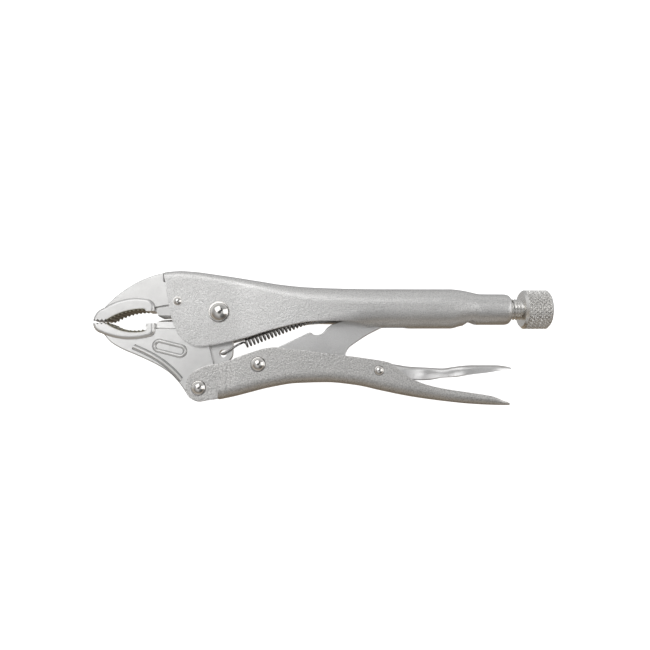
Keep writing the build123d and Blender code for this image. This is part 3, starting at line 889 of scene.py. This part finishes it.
def stadium(middle, length, height, tilt):
    """The outline of an oval frame with straight sides."""
    run = length / 2 - height / 2
    turn = math.radians(tilt)
    points = ring_arc((run, 0), height / 2, -90, 90, 0.5) + ring_arc((-run, 0), height / 2, 90, 270, 0.5)
    return [(middle[0] + x * math.cos(turn) - y * math.sin(turn),
             middle[1] + x * math.sin(turn) + y * math.cos(turn))
            for x, y in points]


rib_path = curve_through([(-104.4, -4.9), (-97.6, -7.9), (-90.8, -11.6), (-84.8, -15.9), (-80.2, -20.2),
                          (-77.6, -23.2)],
                         0.8)
frame_middle, frame_tilt = (-84.4, -5.9), -14.0
frame_path = stadium(frame_middle, 17.4, 5.4, frame_tilt)
for side in (1, -1):
    for shift in (1.15, -1.15):
        groove = [(x + shift * 0.55, y + shift * 0.83) for x, y in rib_path]
        combine(moving_jaw, [bead("rib_groove", groove, 0.5, 0.0, side)], "DIFFERENCE")
    combine(moving_jaw, [bead("rib", rib_path, 0.8, 0.05, side)], "UNION")
    for extra in (1.7, -1.7):
        edge = stadium(frame_middle, 17.4 + extra, 5.4 + extra, frame_tilt)
        combine(moving_jaw, [bead("frame_groove", edge, 0.34, -0.02, side, True)], "DIFFERENCE")
    combine(moving_jaw, [bead("oval_frame", frame_path, 0.6, 0.1, side, True)], "UNION")
moving_metal = forged_steel("forged_nickel_moving", (0.98, 0.975, 0.965), moving_bite)
moving_jaw.data.materials.clear()
moving_jaw.data.materials.append(moving_metal)
even_shading(moving_jaw)
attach(moving_jaw, "moving_jaw")
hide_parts("moving_jaw")

# ---- Lower handle -----------------------------------------------------------------------------
# The lower handle is a second folded blank, open towards the upper handle. Its two ears straddle
# the jaw's foot, a web closes its underside behind them, and it flattens into a rounded tail.

FRONT_HALF = 7.15
REAR_HALF = 8.3
EAR_R = 7.1
WEB_START = -57.0
tail_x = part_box("lower_handle")[1][0] / MM
web_under = smooth_between([(WEB_START, -33.8), (-49.0, -32.1), (-42.0, -30.3), (-30.0, -27.3),
                            (-15.0, -24.9),
                            (2.0, -24.4), (18.0, -25.9), (33.0, -29.1), (48.0, -32.1), (64.0, -34.4),
                            (82.0, -36.2),
                            (94.0, -36.75), (tail_x, -36.85)])
wall_top = smooth_between([(-64.0, -15.8), (WEB_START, -14.25), (-54.0, -13.5), (-39.1, -8.2),
                           (-31.0, -5.9), (-26.3, -5.4), (-20.0, -6.2), (-8.9, -7.4), (4.9, -9.1),
                           (25.0, -11.7),
                           (35.9, -13.7), (41.0, -17.4), (46.2, -21.6), (58.2, -26.3), (70.0, -28.6),
                           (82.6, -30.4),
                           (92.0, -32.0), (97.6, -34.0), (tail_x, -36.0)])
ear_top = smooth_between([(-74.7, -26.0), (-74.3, -24.6), (-73.5, -22.4), (-72.2, -20.3), (-70.2, -18.5),
                          (-67.5, -17.1),
                          (-64.6, -15.9), (-60.3, -14.7), (WEB_START, -14.25)])
ear_under = smooth_between([(foot[0], foot[1] - EAR_R), (-63.0, -34.3), (WEB_START, -33.2)])


def ear_edges(x):
    """Lower and upper edge of an ear in front of the web."""
    drop = math.sqrt(max(0.0, EAR_R ** 2 - (x - foot[0]) ** 2))
    low = foot[1] - drop if x < foot[0] else ear_under(x)
    high = max(foot[1] + drop, ear_top(x)) if x > foot[0] - EAR_R * 0.97 else foot[1] + drop
    return low, high


lower_half = smooth_between([(-75.0, FRONT_HALF), (-55.5, FRONT_HALF), (-53.4, FRONT_HALF + 0.55),
                             (-51.8, FRONT_HALF + 0.35),
                             (-49.0, REAR_HALF - 0.1), (-45.0, REAR_HALF), (60.0, REAR_HALF),
                             (80.0, REAR_HALF - 0.6),
                             (94.0, REAR_HALF - 1.4)])
CORNER = 5.4
WEB_COUNT, CORNER_COUNT, WALL_COUNT = 8, 10, 20
ear_count = 14
xs = [foot[0] - EAR_R * math.cos(math.pi / 2 * (k + 0.4) / ear_count) for k in range(ear_count)]
xs += [foot[0] + (WEB_START - foot[0]) * k / 10 for k in range(11)]
x = WEB_START
while x < 92.0:
    x += 1.0
    xs.append(x)
tail_start, tail_count = 92.0, 14
xs += [tail_start + (tail_x - tail_start) * math.sin(math.pi / 2 * k / tail_count)
       for k in range(1, tail_count + 1)]
xs.insert(ear_count + 11, WEB_START + 0.06)
xs = sorted(set(round(v, 4) for v in xs))
rows = []
for x in xs:
    half = lower_half(x)
    if x > tail_start:
        half *= math.sqrt(max(0.0004, 1 - ((x - tail_start) / (tail_x - tail_start)) ** 2.2))
    bottom, high = web_under(x), wall_top(x)
    ear = x <= WEB_START + 0.001
    if ear:
        low, high = ear_edges(x)
    corner = min(CORNER, (high - bottom) * 0.7, half * 0.8)
    side_points = []
    for k in range(WEB_COUNT):
        side_points.append(((half - corner) * k / WEB_COUNT, bottom))
    for k in range(CORNER_COUNT):
        turn = math.pi / 2 * k / CORNER_COUNT
        if ear:
            side_points.append((half, low + (high - low) * 0.12 * k / CORNER_COUNT))
        else:
            side_points.append((half - corner + corner * math.sin(turn),
                                bottom + corner - corner * math.cos(turn)))
    wall_low = low + (high - low) * 0.12 if ear else bottom + corner
    for k in range(WALL_COUNT + 1):
        side_points.append((half, wall_low + (high - wall_low) * k / WALL_COUNT))
    rows.append([(x, y, mid_z - z) for z, y in reversed(side_points)] + [(x, y, mid_z + z) for z,
                                                                         y in side_points[1:]])
side_count = WEB_COUNT + CORNER_COUNT + WALL_COUNT
last_ear = max(i for i, x in enumerate(xs) if x <= WEB_START + 0.001)


def no_web(i, j):
    """True for faces of the web in front of where it starts."""
    return i < last_ear + 1 and side_count - WEB_COUNT <= j < side_count + WEB_COUNT


lower_handle = skin("lower_handle_shell", rows, missing=no_web)
outward(lower_handle, (-10.0, -8.0, mid_z))
thicken(lower_handle, SHEET, 0.35, (88.0, tail_x - 1.0))
lower_handle.data.materials.append(plated_sheet("pearl_nickel_lower", (0.79, 0.78, 0.765), 1.7, 1200.0))
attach(lower_handle, "lower_handle")
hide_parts("lower_handle")

# ---- Toggle link ------------------------------------------------------------------------------
# The toggle link is stamped from 6 mm plate and plated like the handles. It turns on the link
# rivet inside the lower handle, and its rounded end bears on the screw inside the upper handle.

LINK_HALF = 3.0
link_foot = centre("link_pivot_rivet")
tip = (37.0, 12.9)
link_outline = chain(
    ring_arc(link_foot, 6.4, 102, 262),
    [(9.0, -14.4), (12.2, -11.6)],
    arc_points((12.4, -11.2), (13.2, -7.2), (16.1, -3.8), 0.8),
    curve_through([(16.1, -3.8), (19.6, -1.4), (25.0, 2.1), (30.3, 4.8), (34.0, 6.6)], 1.5),
    ring_arc(tip, 5.0, -68, 108),
    [(22.0, 14.2), (7.6, 8.5)],
    arc_points((7.6, 8.5), (3.2, 6.4), (0.6, 3.4), 0.8),
    arc_points((0.6, 3.4), (-2.6, 1.7), (-5.7, 2.0), 0.8),
    [(-6.2, 2.6), (-7.3, 3.1), (-8.6, 2.6)],
    [(-25.2, -5.3)])
toggle_link = prism("toggle_link_plate", link_outline, -LINK_HALF, LINK_HALF, 0.45)
link_boss = prism("link_boss", ring_arc(link_foot, 5.2, 0, 355, 0.7), -5.6, 5.6, 0.3)
combine(toggle_link, [link_boss], "UNION")
stamped = plated_sheet("stamped_nickel", (0.96, 0.955, 0.95), 0.45)
toggle_link.data.materials.clear()
toggle_link.data.materials.append(stamped)
even_shading(toggle_link)
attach(toggle_link, "toggle_link")
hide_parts("toggle_link")

# ---- Release lever ----------------------------------------------------------------------------
# The release lever is pressed from 1.8 mm sheet: a narrow channel with its open side down that
# turns on a small rivet in the lower handle, pinched behind it and spread into a thumb pad.

lever_low, lever_high = (v / MM for v in (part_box("release_lever")[0][0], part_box("release_lever")[1][0]))
lever_top = smooth_between([(12.6, -17.4), (22.0, -15.2), (34.0, -13.9), (41.0, -14.8), (47.0, -15.7),
                            (58.2, -16.3),
                            (66.0, -16.7), (71.6, -16.0), (77.0, -15.3), (82.6, -15.0), (95.1, -15.0),
                            (lever_high, -16.2)])
lever_under = smooth_between([(12.6, -20.0), (24.0, -21.0), (36.0, -21.8), (45.0, -22.4), (52.0, -22.9),
                              (58.0, -22.6),
                              (66.9, -21.7), (76.0, -20.8), (82.6, -20.1), (90.0, -19.2), (97.0, -18.2),
                              (lever_high, -17.1)])
lever_half = smooth_between([(12.6, 5.0), (44.0, 5.2), (50.0, 4.7), (56.0, 3.9), (62.0, 3.7), (69.0, 4.4),
                             (78.0, 5.3),
                             (92.0, 5.25)])
LEVER_SHEET = 1.6
xs = [lever_low + 0.4 * k for k in range(4)]
while xs[-1] < 92.0:
    xs.append(xs[-1] + 0.9)
lever_round = xs[-1]
xs += [lever_round + (lever_high - lever_round) * math.sin(math.pi / 2 * k / 12) for k in range(1, 13)]
rows = []
for x in xs:
    half = lever_half(x)
    if x > lever_round:
        half *= math.sqrt(max(0.0009, 1 - ((x - lever_round) / (lever_high - lever_round)) ** 2))
    top, under = lever_top(x), lever_under(x)
    depth = top - under
    corner = min(2.4, half * 0.85, depth * 0.9)
    path = cut_path(half_section(top, under - 6.0, half, corner), lambda z, y: y < under)
    near = even_points(path, 26)
    pinch = 0.9 * math.exp(-((x - 57.0) / 6.0) ** 2) + 0.5 * math.exp(-((x - 73.0) / 5.0) ** 2)
    shaped = []
    for z, y in near:
        share = (top - y) / depth
        shaped.append((z - pinch * math.sin(math.pi * min(1.0, share)) * (z / half), y))
    rows.append([(x, y, mid_z - z) for z, y in reversed(shaped)] + [(x, y, mid_z + z) for z,
                                                                    y in shaped[1:]])
release_lever = skin("release_lever_shell", rows)
outward(release_lever, (50.0, -24.0, mid_z))
thicken(release_lever, LEVER_SHEET, 0.25, (86.0, lever_high - 1.0))
release_lever.data.materials.append(stamped)
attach(release_lever, "release_lever")
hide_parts("release_lever")

# ---- Rivets -----------------------------------------------------------------------------------
# Five steel rivets hold the tool together. Each head is pressed to a dome with a flat rim round
# it and has a bright polished plate, so it mirrors the room.


def rivet_tree():
    """A shank with two domed heads: the two caps of a cylinder are blown up to domes over flat rims."""
    t = Nodes("rivet", [("Head Radius", "NodeSocketFloat", 0.004),
                        ("Shank Radius", "NodeSocketFloat", 0.003),
                        ("Seat", "NodeSocketFloat", 0.007), ("Top", "NodeSocketFloat", 0.009),
                        ("Around", "NodeSocketInt", 64), ("Material", "NodeSocketMaterial", None)])
    head, shank, seat, top, around, _ = t.entry.outputs[1:7]
    rod = t.add("GeometryNodeMeshCylinder", {"Vertices": around, "Side Segments": 8, "Fill Segments": 14,
                                             "Radius": 1.0, "Depth": 2.0}).outputs[0]
    place = t.add("ShaderNodeSeparateXYZ", {0: t.add("GeometryNodeInputPosition").outputs[0]}).outputs
    away = t.math("ABSOLUTE", place[2])
    flat = t.add("ShaderNodeCombineXYZ", {0: place[0], 1: place[1]}).outputs[0]
    out = t.math("MULTIPLY", t.add("ShaderNodeVectorMath", {0: flat}, operation="LENGTH").outputs["Value"],
                 head)
    rim = t.math("MULTIPLY", t.math("SUBTRACT", top, seat), 0.2)
    rise = t.math("SUBTRACT", t.math("SUBTRACT", top, seat), rim)
    dome = t.math("MULTIPLY", head, 0.86)
    ball = t.math("DIVIDE", t.math("ADD", t.math("POWER", dome, 2.0), t.math("POWER", rise, 2.0)),
                  t.math("MULTIPLY", rise, 2.0))
    arch = t.math("SQRT", t.math("MAXIMUM",
                                 t.math("SUBTRACT", t.math("POWER", ball, 2.0), t.math("POWER", out, 2.0)),
                                 0.0))
    bulge = t.math("MAXIMUM", t.math("SUBTRACT", arch, t.math("SUBTRACT", ball, rise)), 0.0)
    on_cap = t.math("GREATER_THAN", away, 0.95)
    up_rim = t.math("MULTIPLY", t.math("MAXIMUM", t.math("SUBTRACT", away, 0.5), 0.0),
                    t.math("MULTIPLY", rim, 2.0))
    height = t.math("MULTIPLY", seat, t.math("GREATER_THAN", away, 0.1))
    height = t.math("ADD", t.math("ADD", height, up_rim), t.math("MULTIPLY", bulge, on_cap))
    past_seat = t.math("GREATER_THAN", away, 0.4)
    wide = t.math("MULTIPLY", t.math("SUBTRACT", head, shank), past_seat)
    wide = t.math("ADD", wide, shank)
    wide = t.math("MULTIPLY", wide, t.math("SUBTRACT", 1.0, t.math("MULTIPLY", on_cap, 0.03)))
    point = t.add("ShaderNodeCombineXYZ",
                  {0: t.math("MULTIPLY", place[0], wide), 1: t.math("MULTIPLY", place[1], wide),
                                           2: t.math("MULTIPLY", height, t.math("SIGN",
                                                                                place[2]))}).outputs[0]
    t.close(t.add("GeometryNodeSetPosition", {"Geometry": rod, "Position": point}).outputs[0])
    return t


def polished(name, tone):
    """Bright nickel on a pressed head, with faint marks of the press."""
    material, tree, shader, coords = nodes_of(name)
    shader.inputs["Metallic"].default_value = 1.0
    shader.inputs["Base Color"].default_value = (*tone, 1.0)
    marks = noise(tree, coords, 420.0, 3.0, 0.6)
    rough = ramp(tree, marks, [(0.35, 0.07), (0.7, 0.16)])
    tree.links.new(rough, shader.inputs["Roughness"])
    bump(tree, shader, [(marks, 0.10, 0.08)])
    return material


bright = polished("rivet_bright", (0.86, 0.84, 0.81))
rivet_bodies = {"main_pivot_rivet": "upper_handle", "fixed_jaw_rivet": "upper_handle",
                "lever_pivot_rivet": "lower_handle",
                "link_pivot_rivet": "lower_handle", "release_lever_rivet": "lower_handle"}
rivet_seats = {"main_pivot_rivet": FRONT_HALF, "fixed_jaw_rivet": FRONT_HALF,
               "lever_pivot_rivet": FRONT_HALF,
               "link_pivot_rivet": REAR_HALF, "release_lever_rivet": REAR_HALF}
domed = rivet_tree()
for node, body in rivet_bodies.items():
    low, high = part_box(node)
    head_r = (high[0] - low[0]) / 2
    rivet = new_piece(node + "_head", [(0, 0, 0)], [])
    domed.apply(rivet, {"Head Radius": head_r, "Shank Radius": head_r * 0.62,
                        "Seat": (rivet_seats[node] - 0.15) * MM,
                        "Top": (high[2] - low[2]) / 2, "Around": 64, "Material": bright}, 50.0)
    rivet.data.transform(Matrix.Translation(Vector((*centre(node), mid_z)) * MM))
    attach(rivet, body)
    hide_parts(node)

# ---- Adjusting screw and knob -----------------------------------------------------------------
# The screw is a 12 mm rod with a rolled thread. A turned knob with a diamond knurl and turned
# chamfers is pressed on its end, and both are plated after that.


def turned_tree(name, surface):
    """A cylinder along X whose radius follows surface(t, along, round), built from named sizes."""
    t = Nodes(name, [("Length", "NodeSocketFloat", 0.02), ("Radius", "NodeSocketFloat", 0.01),
                     ("Depth", "NodeSocketFloat", 0.001), ("Pitch", "NodeSocketFloat", 0.002),
                     ("Chamfer", "NodeSocketFloat", 0.001), ("Rings", "NodeSocketInt", 100),
                     ("Around", "NodeSocketInt", 64), ("Material", "NodeSocketMaterial", None)])
    rod = t.add("GeometryNodeMeshCylinder", {"Vertices": t.entry.outputs["Around"],
                                             "Side Segments": t.entry.outputs["Rings"], "Radius": 1.0,
                                             "Depth": t.entry.outputs["Length"]}).outputs[0]
    place = t.add("ShaderNodeSeparateXYZ", {0: t.add("GeometryNodeInputPosition").outputs[0]})
    turn = t.math("DIVIDE", t.math("ARCTAN2", place.outputs[1], place.outputs[0]), 2 * math.pi)
    along = place.outputs[2]
    half_length = t.math("MULTIPLY", t.entry.outputs["Length"], 0.5)
    from_end = t.math("SUBTRACT", half_length, t.math("ABSOLUTE", along))
    lost = t.math("MAXIMUM", t.math("SUBTRACT", t.entry.outputs["Chamfer"], from_end), 0.0)
    radius = surface(t, along, turn, from_end)
    radius = t.math("SUBTRACT", radius, lost)
    new_x = t.math("MULTIPLY", place.outputs[0], radius)
    new_y = t.math("MULTIPLY", place.outputs[1], radius)
    point = t.add("ShaderNodeCombineXYZ", {0: new_x, 1: new_y, 2: along}).outputs[0]
    shaped = t.add("GeometryNodeSetPosition", {"Geometry": rod, "Position": point}).outputs[0]
    t.close(shaped)
    return t


def thread_surface(t, along, turn, from_end):
    """A V thread with narrow flats, one start."""
    phase = t.math("FRACT", t.math("SUBTRACT", t.math("DIVIDE", along, t.entry.outputs["Pitch"]), turn))
    slope = t.math("MULTIPLY", t.math("SUBTRACT", 0.5, t.math("ABSOLUTE", t.math("SUBTRACT", phase, 0.5))),
                   2.5)
    ridge = t.math("MINIMUM", t.math("MAXIMUM", t.math("SUBTRACT", slope, 0.12), 0.0), 1.0)
    cut = t.math("MULTIPLY", t.math("SUBTRACT", 1.0, ridge), t.entry.outputs["Depth"])
    return t.math("SUBTRACT", t.entry.outputs["Radius"], cut)


def knurl_surface(t, along, turn, from_end):
    """Diamond points between two families of crossing grooves."""
    starts = t.math("DIVIDE", t.math("MULTIPLY", t.entry.outputs["Radius"], 2 * math.pi),
                    t.entry.outputs["Pitch"])
    around = t.math("MULTIPLY", turn, t.math("ROUND", starts))
    rise = t.math("DIVIDE", along, t.entry.outputs["Pitch"])
    heights = []
    for side in ("ADD", "SUBTRACT"):
        phase = t.math("FRACT", t.math(side, around, rise))
        heights.append(t.math("SUBTRACT", 1.0,
                              t.math("MULTIPLY", t.math("ABSOLUTE", t.math("SUBTRACT", phase, 0.5)), 2.0)))
    peak = t.math("MINIMUM", t.math("MULTIPLY", t.math("MINIMUM", *heights), 1.5), 1.0)
    cut = t.math("MULTIPLY", t.math("SUBTRACT", 1.0, peak), t.entry.outputs["Depth"])
    inside = t.math("DIVIDE", t.math("SUBTRACT", from_end, t.entry.outputs["Chamfer"]), 0.0004)
    fade = t.math("MINIMUM", t.math("MAXIMUM", inside, 0.0), 1.0)
    return t.math("SUBTRACT", t.entry.outputs["Radius"], t.math("MULTIPLY", cut, fade))


def place_along_x(piece, start, end):
    """Lays a piece made along Z on the screw's axis, between two places on X."""
    turn = Matrix.Rotation(math.pi / 2, 4, "Y")
    move = Matrix.Translation(Vector(((start + end) / 2, screw_y, mid_z)) * MM)
    piece.data.transform(move @ turn)


def worked_steel(name, tone, rough_low, rough_high):
    """Plated turned steel."""
    material, tree, shader, coords = nodes_of(name)
    shader.inputs["Metallic"].default_value = 1.0
    fine = noise(tree, coords, 900.0, 3.0, 0.6)
    tone_field = ramp(tree, fine, [(0.3, tuple(c * 0.85 for c in tone)), (0.7, tone)])
    tree.links.new(tone_field, shader.inputs["Base Color"])
    rough = ramp(tree, fine, [(0.3, rough_low), (0.7, rough_high)])
    tree.links.new(rough, shader.inputs["Roughness"])
    bump(tree, shader, [(fine, 0.2, 0.06)])
    return material


screw_metal = worked_steel("screw_nickel", (1.0, 0.99, 0.97), 0.20, 0.32)
low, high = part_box("adjusting_screw")
screw_low, screw_high = low[0] / MM, high[0] / MM - 0.05
screw_r = (high[1] - low[1]) / 2 / MM
adjusting_screw = new_piece("screw_thread", [(0, 0, 0)], [])
THREAD_PITCH = 1.75
screw_rings = round((screw_high - screw_low) / THREAD_PITCH * 10)
turned_tree("thread", thread_surface).apply(
    adjusting_screw, {"Length": (screw_high - screw_low) * MM, "Radius": screw_r * MM, "Depth": 0.95 * MM,
                      "Pitch": THREAD_PITCH * MM, "Chamfer": 0.9 * MM, "Rings": screw_rings, "Around": 60,
                      "Material": screw_metal}, 32.0)
place_along_x(adjusting_screw, screw_low, screw_high)
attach(adjusting_screw, "adjusting_screw")
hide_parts("adjusting_screw")

low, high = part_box("screw_knob")
knob_low, knob_high, knob_r = low[0] / MM, high[0] / MM, (high[1] - low[1]) / 2 / MM
screw_knob = new_piece("knurled_knob", [(0, 0, 0)], [])
turned_tree("knurl", knurl_surface).apply(
    screw_knob, {"Length": (knob_high - knob_low) * MM, "Radius": knob_r * MM, "Depth": 1.05 * MM,
                 "Pitch": 2.4 * MM, "Chamfer": 1.3 * MM, "Rings": 84, "Around": 372,
                 "Material": screw_metal}, 20.0)
place_along_x(screw_knob, knob_low, knob_high)
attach(screw_knob, "screw_knob")
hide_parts("screw_knob")

# ---- Return spring ----------------------------------------------------------------------------
# The return spring is wound from 1.2 mm wire. One hook passes through the hole in the moving
# jaw's tab and the other through a small clip welded inside the upper handle.

WIRE_R = 0.6
COIL_R = 2.6
coil_start, coil_end = (-43.5, -2.4), (4.0, 16.0)
coil_turns = 24


def coil_tree():
    """Wire wound on a spiral of named size."""
    t = Nodes("coil", [("Turns", "NodeSocketFloat", 20.0), ("Coil Radius", "NodeSocketFloat", 0.003),
                       ("Length", "NodeSocketFloat", 0.05), ("Wire Radius", "NodeSocketFloat", 0.0005),
                       ("Material", "NodeSocketMaterial", None)])
    path = t.add("GeometryNodeCurveSpiral", {"Resolution": 26, "Rotations": t.entry.outputs["Turns"],
                                             "Start Radius": t.entry.outputs["Coil Radius"],
                                             "End Radius": t.entry.outputs["Coil Radius"],
                                             "Height": t.entry.outputs["Length"]}).outputs[0]
    wire = t.add("GeometryNodeCurvePrimitiveCircle",
                 {"Resolution": 10, "Radius": t.entry.outputs["Wire Radius"]}).outputs[0]
    swept = t.add("GeometryNodeCurveToMesh",
                  {"Curve": path, "Profile Curve": wire, "Fill Caps": True}).outputs[0]
    t.close(swept)
    return t


def bent(path, times=3):
    """Rounds the bends of a wire by cutting their corners again and again; the ends stay."""
    for _ in range(times):
        cut = [path[0]]
        for a, b in zip(path, path[1:]):
            cut += [a.lerp(b, 0.25), a.lerp(b, 0.75)]
        path = cut + [path[-1]]
    return path


spring_metal = worked_steel("spring_wire", (0.54, 0.53, 0.52), 0.18, 0.30)
return_spring = new_piece("return_spring_wire", [(0, 0, 0)], [])
coil_length = math.dist(coil_start, coil_end)
coil_tree().apply(return_spring,
                  {"Turns": float(coil_turns), "Coil Radius": COIL_R * MM, "Length": coil_length * MM,
                                  "Wire Radius": WIRE_R * MM, "Material": spring_metal}, 60.0)
slope = math.atan2(coil_end[1] - coil_start[1], coil_end[0] - coil_start[0])
lay = Matrix.Translation(Vector((*coil_start, mid_z)) * MM) @ Matrix.Rotation(slope, 4, "Z") \
    @ Matrix.Rotation(math.pi / 2, 4, "Y")
return_spring.data.transform(lay)
along = Vector((math.cos(slope), math.sin(slope), 0))
upward = Vector((0, 0, 1))
front = Vector((*coil_start, mid_z))
rear = Vector((*coil_end, mid_z))
hook_z = TAB_HALF + WIRE_R + 0.25
hole_at = Vector((*hook_hole, mid_z))
first_turn = front - upward * COIL_R
front_hook = [first_turn, first_turn - along * 0.8 + Vector((-0.6, 0.8, 0)),
              front - along * 1.8 + Vector((0, 0.3, 1.2)),
              front - along * 4.0 + upward * hook_z, hole_at + along * 2.8 + upward * hook_z,
              hole_at - along * 0.6 + upward * (hook_z + 0.1),
              hole_at - along * 0.7 + upward * (hook_z - 1.4),
              hole_at - along * 0.5 - upward * hook_z, hole_at + along * 1.6 - upward * (hook_z + 0.2)]
clip_low, clip_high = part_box("spring_anchor")
clip_at = Vector(((clip_low[0] + clip_high[0]) / 2 / MM, 19.4, mid_z))
rear_hook = [rear - upward * COIL_R, rear + along * 1.0 - upward * 1.6,
             rear + along * 2.2 + Vector((0, 0.6, 0)),
             clip_at - Vector((2.0, 0.1, 0)), clip_at + Vector((2.2, 0, 0)),
             clip_at + Vector((3.2, -1.0, 0)),
             clip_at + Vector((3.0, -2.4, 0))]
hooks = [line_piece("hook", [tuple(p) for p in bent(path)]) for path in (front_hook, rear_hook)]
for hook in hooks:
    round_along.apply(hook, {"Radius": WIRE_R * MM, "Around": 10, "Material": spring_metal}, 60.0)
with bpy.context.temp_override(active_object=return_spring,
                               selected_editable_objects=[return_spring, *hooks]):
    bpy.ops.object.join()
close_seams(return_spring)
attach(return_spring, "upper_handle")
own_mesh(return_spring)
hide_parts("return_spring")

spring_clip = frame["nodes"]["spring_anchor"]
spring_clip.data.materials.clear()
spring_clip.data.materials.append(pearl)

# ---- Table, light and camera ------------------------------------------------------------------
# The tool lies on its side on a plain white table under two wide soft lights, seen from above
# and a little from the side of its lower handle.

TABLE_HALF = 3000
floor = new_piece("table", [(x * TABLE_HALF, y * TABLE_HALF, 0)
                            for x, y in ((-1, -1), (1, -1), (1, 1), (-1, 1))], [(0, 1, 2, 3)])
table_white, tree, shader, coords = nodes_of("table_white")
shader.inputs["Base Color"].default_value = (0.92, 0.92, 0.92, 1.0)
shader.inputs["Roughness"].default_value = 0.8
shader.inputs["Emission Color"].default_value = (1.0, 1.0, 1.0, 1.0)
shader.inputs["Emission Strength"].default_value = 0.95
floor.data.materials.append(table_white)
floor.visible_glossy = False

world = bpy.data.worlds.new("room")
world.use_nodes = True
room = world.node_tree
sky = room.nodes["Background"]
way = room.nodes.new("ShaderNodeSeparateXYZ")
room.links.new(room.nodes.new("ShaderNodeTexCoord").outputs["Generated"], way.inputs[0])
rise = room.nodes.new("ShaderNodeMath")
rise.operation = "MULTIPLY_ADD"
rise.inputs[1].default_value = 0.5
rise.inputs[2].default_value = 0.5
room.links.new(way.outputs[2], rise.inputs[0])
wood, dusk = (0.30, 0.245, 0.18), (0.12, 0.10, 0.08)
low_side = ramp(room, rise.outputs[0],
                [(0.0, wood), (0.30, dusk), (0.485, wood), (0.51, 0.60), (0.56, (0.46, 0.42, 0.37)),
                                        (0.66, (0.20, 0.17, 0.14)), (0.84, 0.34), (0.93, 0.60), (0.97, 0.58),
                                        (0.986, 0.12),
                                        (1.0, 0.08)])
high_side = ramp(room, rise.outputs[0],
                 [(0.0, 0.42), (0.30, 0.42), (0.485, 0.60), (0.50, 0.74), (0.56, 0.66), (0.70, 0.40),
                                         (0.84, 0.38), (0.93, 0.60), (0.97, 0.58), (0.986, 0.12),
                                         (1.0, 0.08)])
side = room.nodes.new("ShaderNodeMapRange")
side.interpolation_type = "SMOOTHSTEP"
side.inputs["From Min"].default_value = -0.35
side.inputs["From Max"].default_value = 0.25
room.links.new(way.outputs[1], side.inputs["Value"])
blend = room.nodes.new("ShaderNodeMix")
blend.data_type = "RGBA"
room.links.new(side.outputs[0], blend.inputs["Factor"])
room.links.new(low_side, blend.inputs[6])
room.links.new(high_side, blend.inputs[7])
shades = blend.outputs[2]
for way_to, near, far, shade in (((0.22, 0.38, 0.90), 0.978, 0.942, 0.03),
                                 ((0.45, -0.55, 0.70), 0.96, 0.88, 0.35)):
    facing = room.nodes.new("ShaderNodeVectorMath")
    facing.operation = "DOT_PRODUCT"
    facing.inputs[1].default_value = Vector(way_to).normalized()
    room.links.new(way.inputs[0].links[0].from_socket, facing.inputs[0])
    card = room.nodes.new("ShaderNodeMapRange")
    card.inputs["From Min"].default_value = far
    card.inputs["From Max"].default_value = near
    card.inputs["To Min"].default_value = 1.0
    card.inputs["To Max"].default_value = shade
    room.links.new(facing.outputs["Value"], card.inputs["Value"])
    darker = room.nodes.new("ShaderNodeVectorMath")
    darker.operation = "SCALE"
    room.links.new(shades, darker.inputs[0])
    room.links.new(card.outputs[0], darker.inputs["Scale"])
    shades = darker.outputs[0]
room.links.new(shades, sky.inputs["Color"])
sky.inputs["Strength"].default_value = 1.0
bpy.context.scene.world = world
bpy.context.scene.view_settings.view_transform = "Standard"


def soft_light(name, place, aim, size, power, tone=(1.0, 1.0, 1.0)):
    """A square soft light at a place in metres, turned to its aim."""
    lamp = bpy.data.lights.new(name, "AREA")
    lamp.shape = "SQUARE"
    lamp.size = size
    lamp.energy = power
    lamp.color = tone
    holder = bpy.data.objects.new(name, lamp)
    holder.location = place
    holder.rotation_euler = (Vector(aim) - Vector(place)).to_track_quat("-Z", "Y").to_euler()
    bpy.context.scene.collection.objects.link(holder)


soft_light("key", (-0.6, 1.0, 1.6), (0, 0, 0), 1.7, 9.0)
soft_light("fill", (1.3, 0.2, 0.9), (0, 0, 0), 1.2, 4.0)

LENS = 32.12
DISTANCE = 316.9
near_face = mid_z + 8.0
aim = Vector((1.08, 6.7, near_face)) * MM
tilt = math.radians(5.9)
camera_data = bpy.data.cameras.new("camera")
camera_data.sensor_width = 36.0
camera_data.lens = LENS
camera_data.clip_start = 0.01
camera = bpy.data.objects.new("camera", camera_data)
camera.location = aim + Vector((0, -math.sin(tilt), math.cos(tilt))) * DISTANCE * MM
camera.rotation_euler = (tilt, 0, 0)
bpy.context.scene.collection.objects.link(camera)
bpy.context.scene.camera = camera
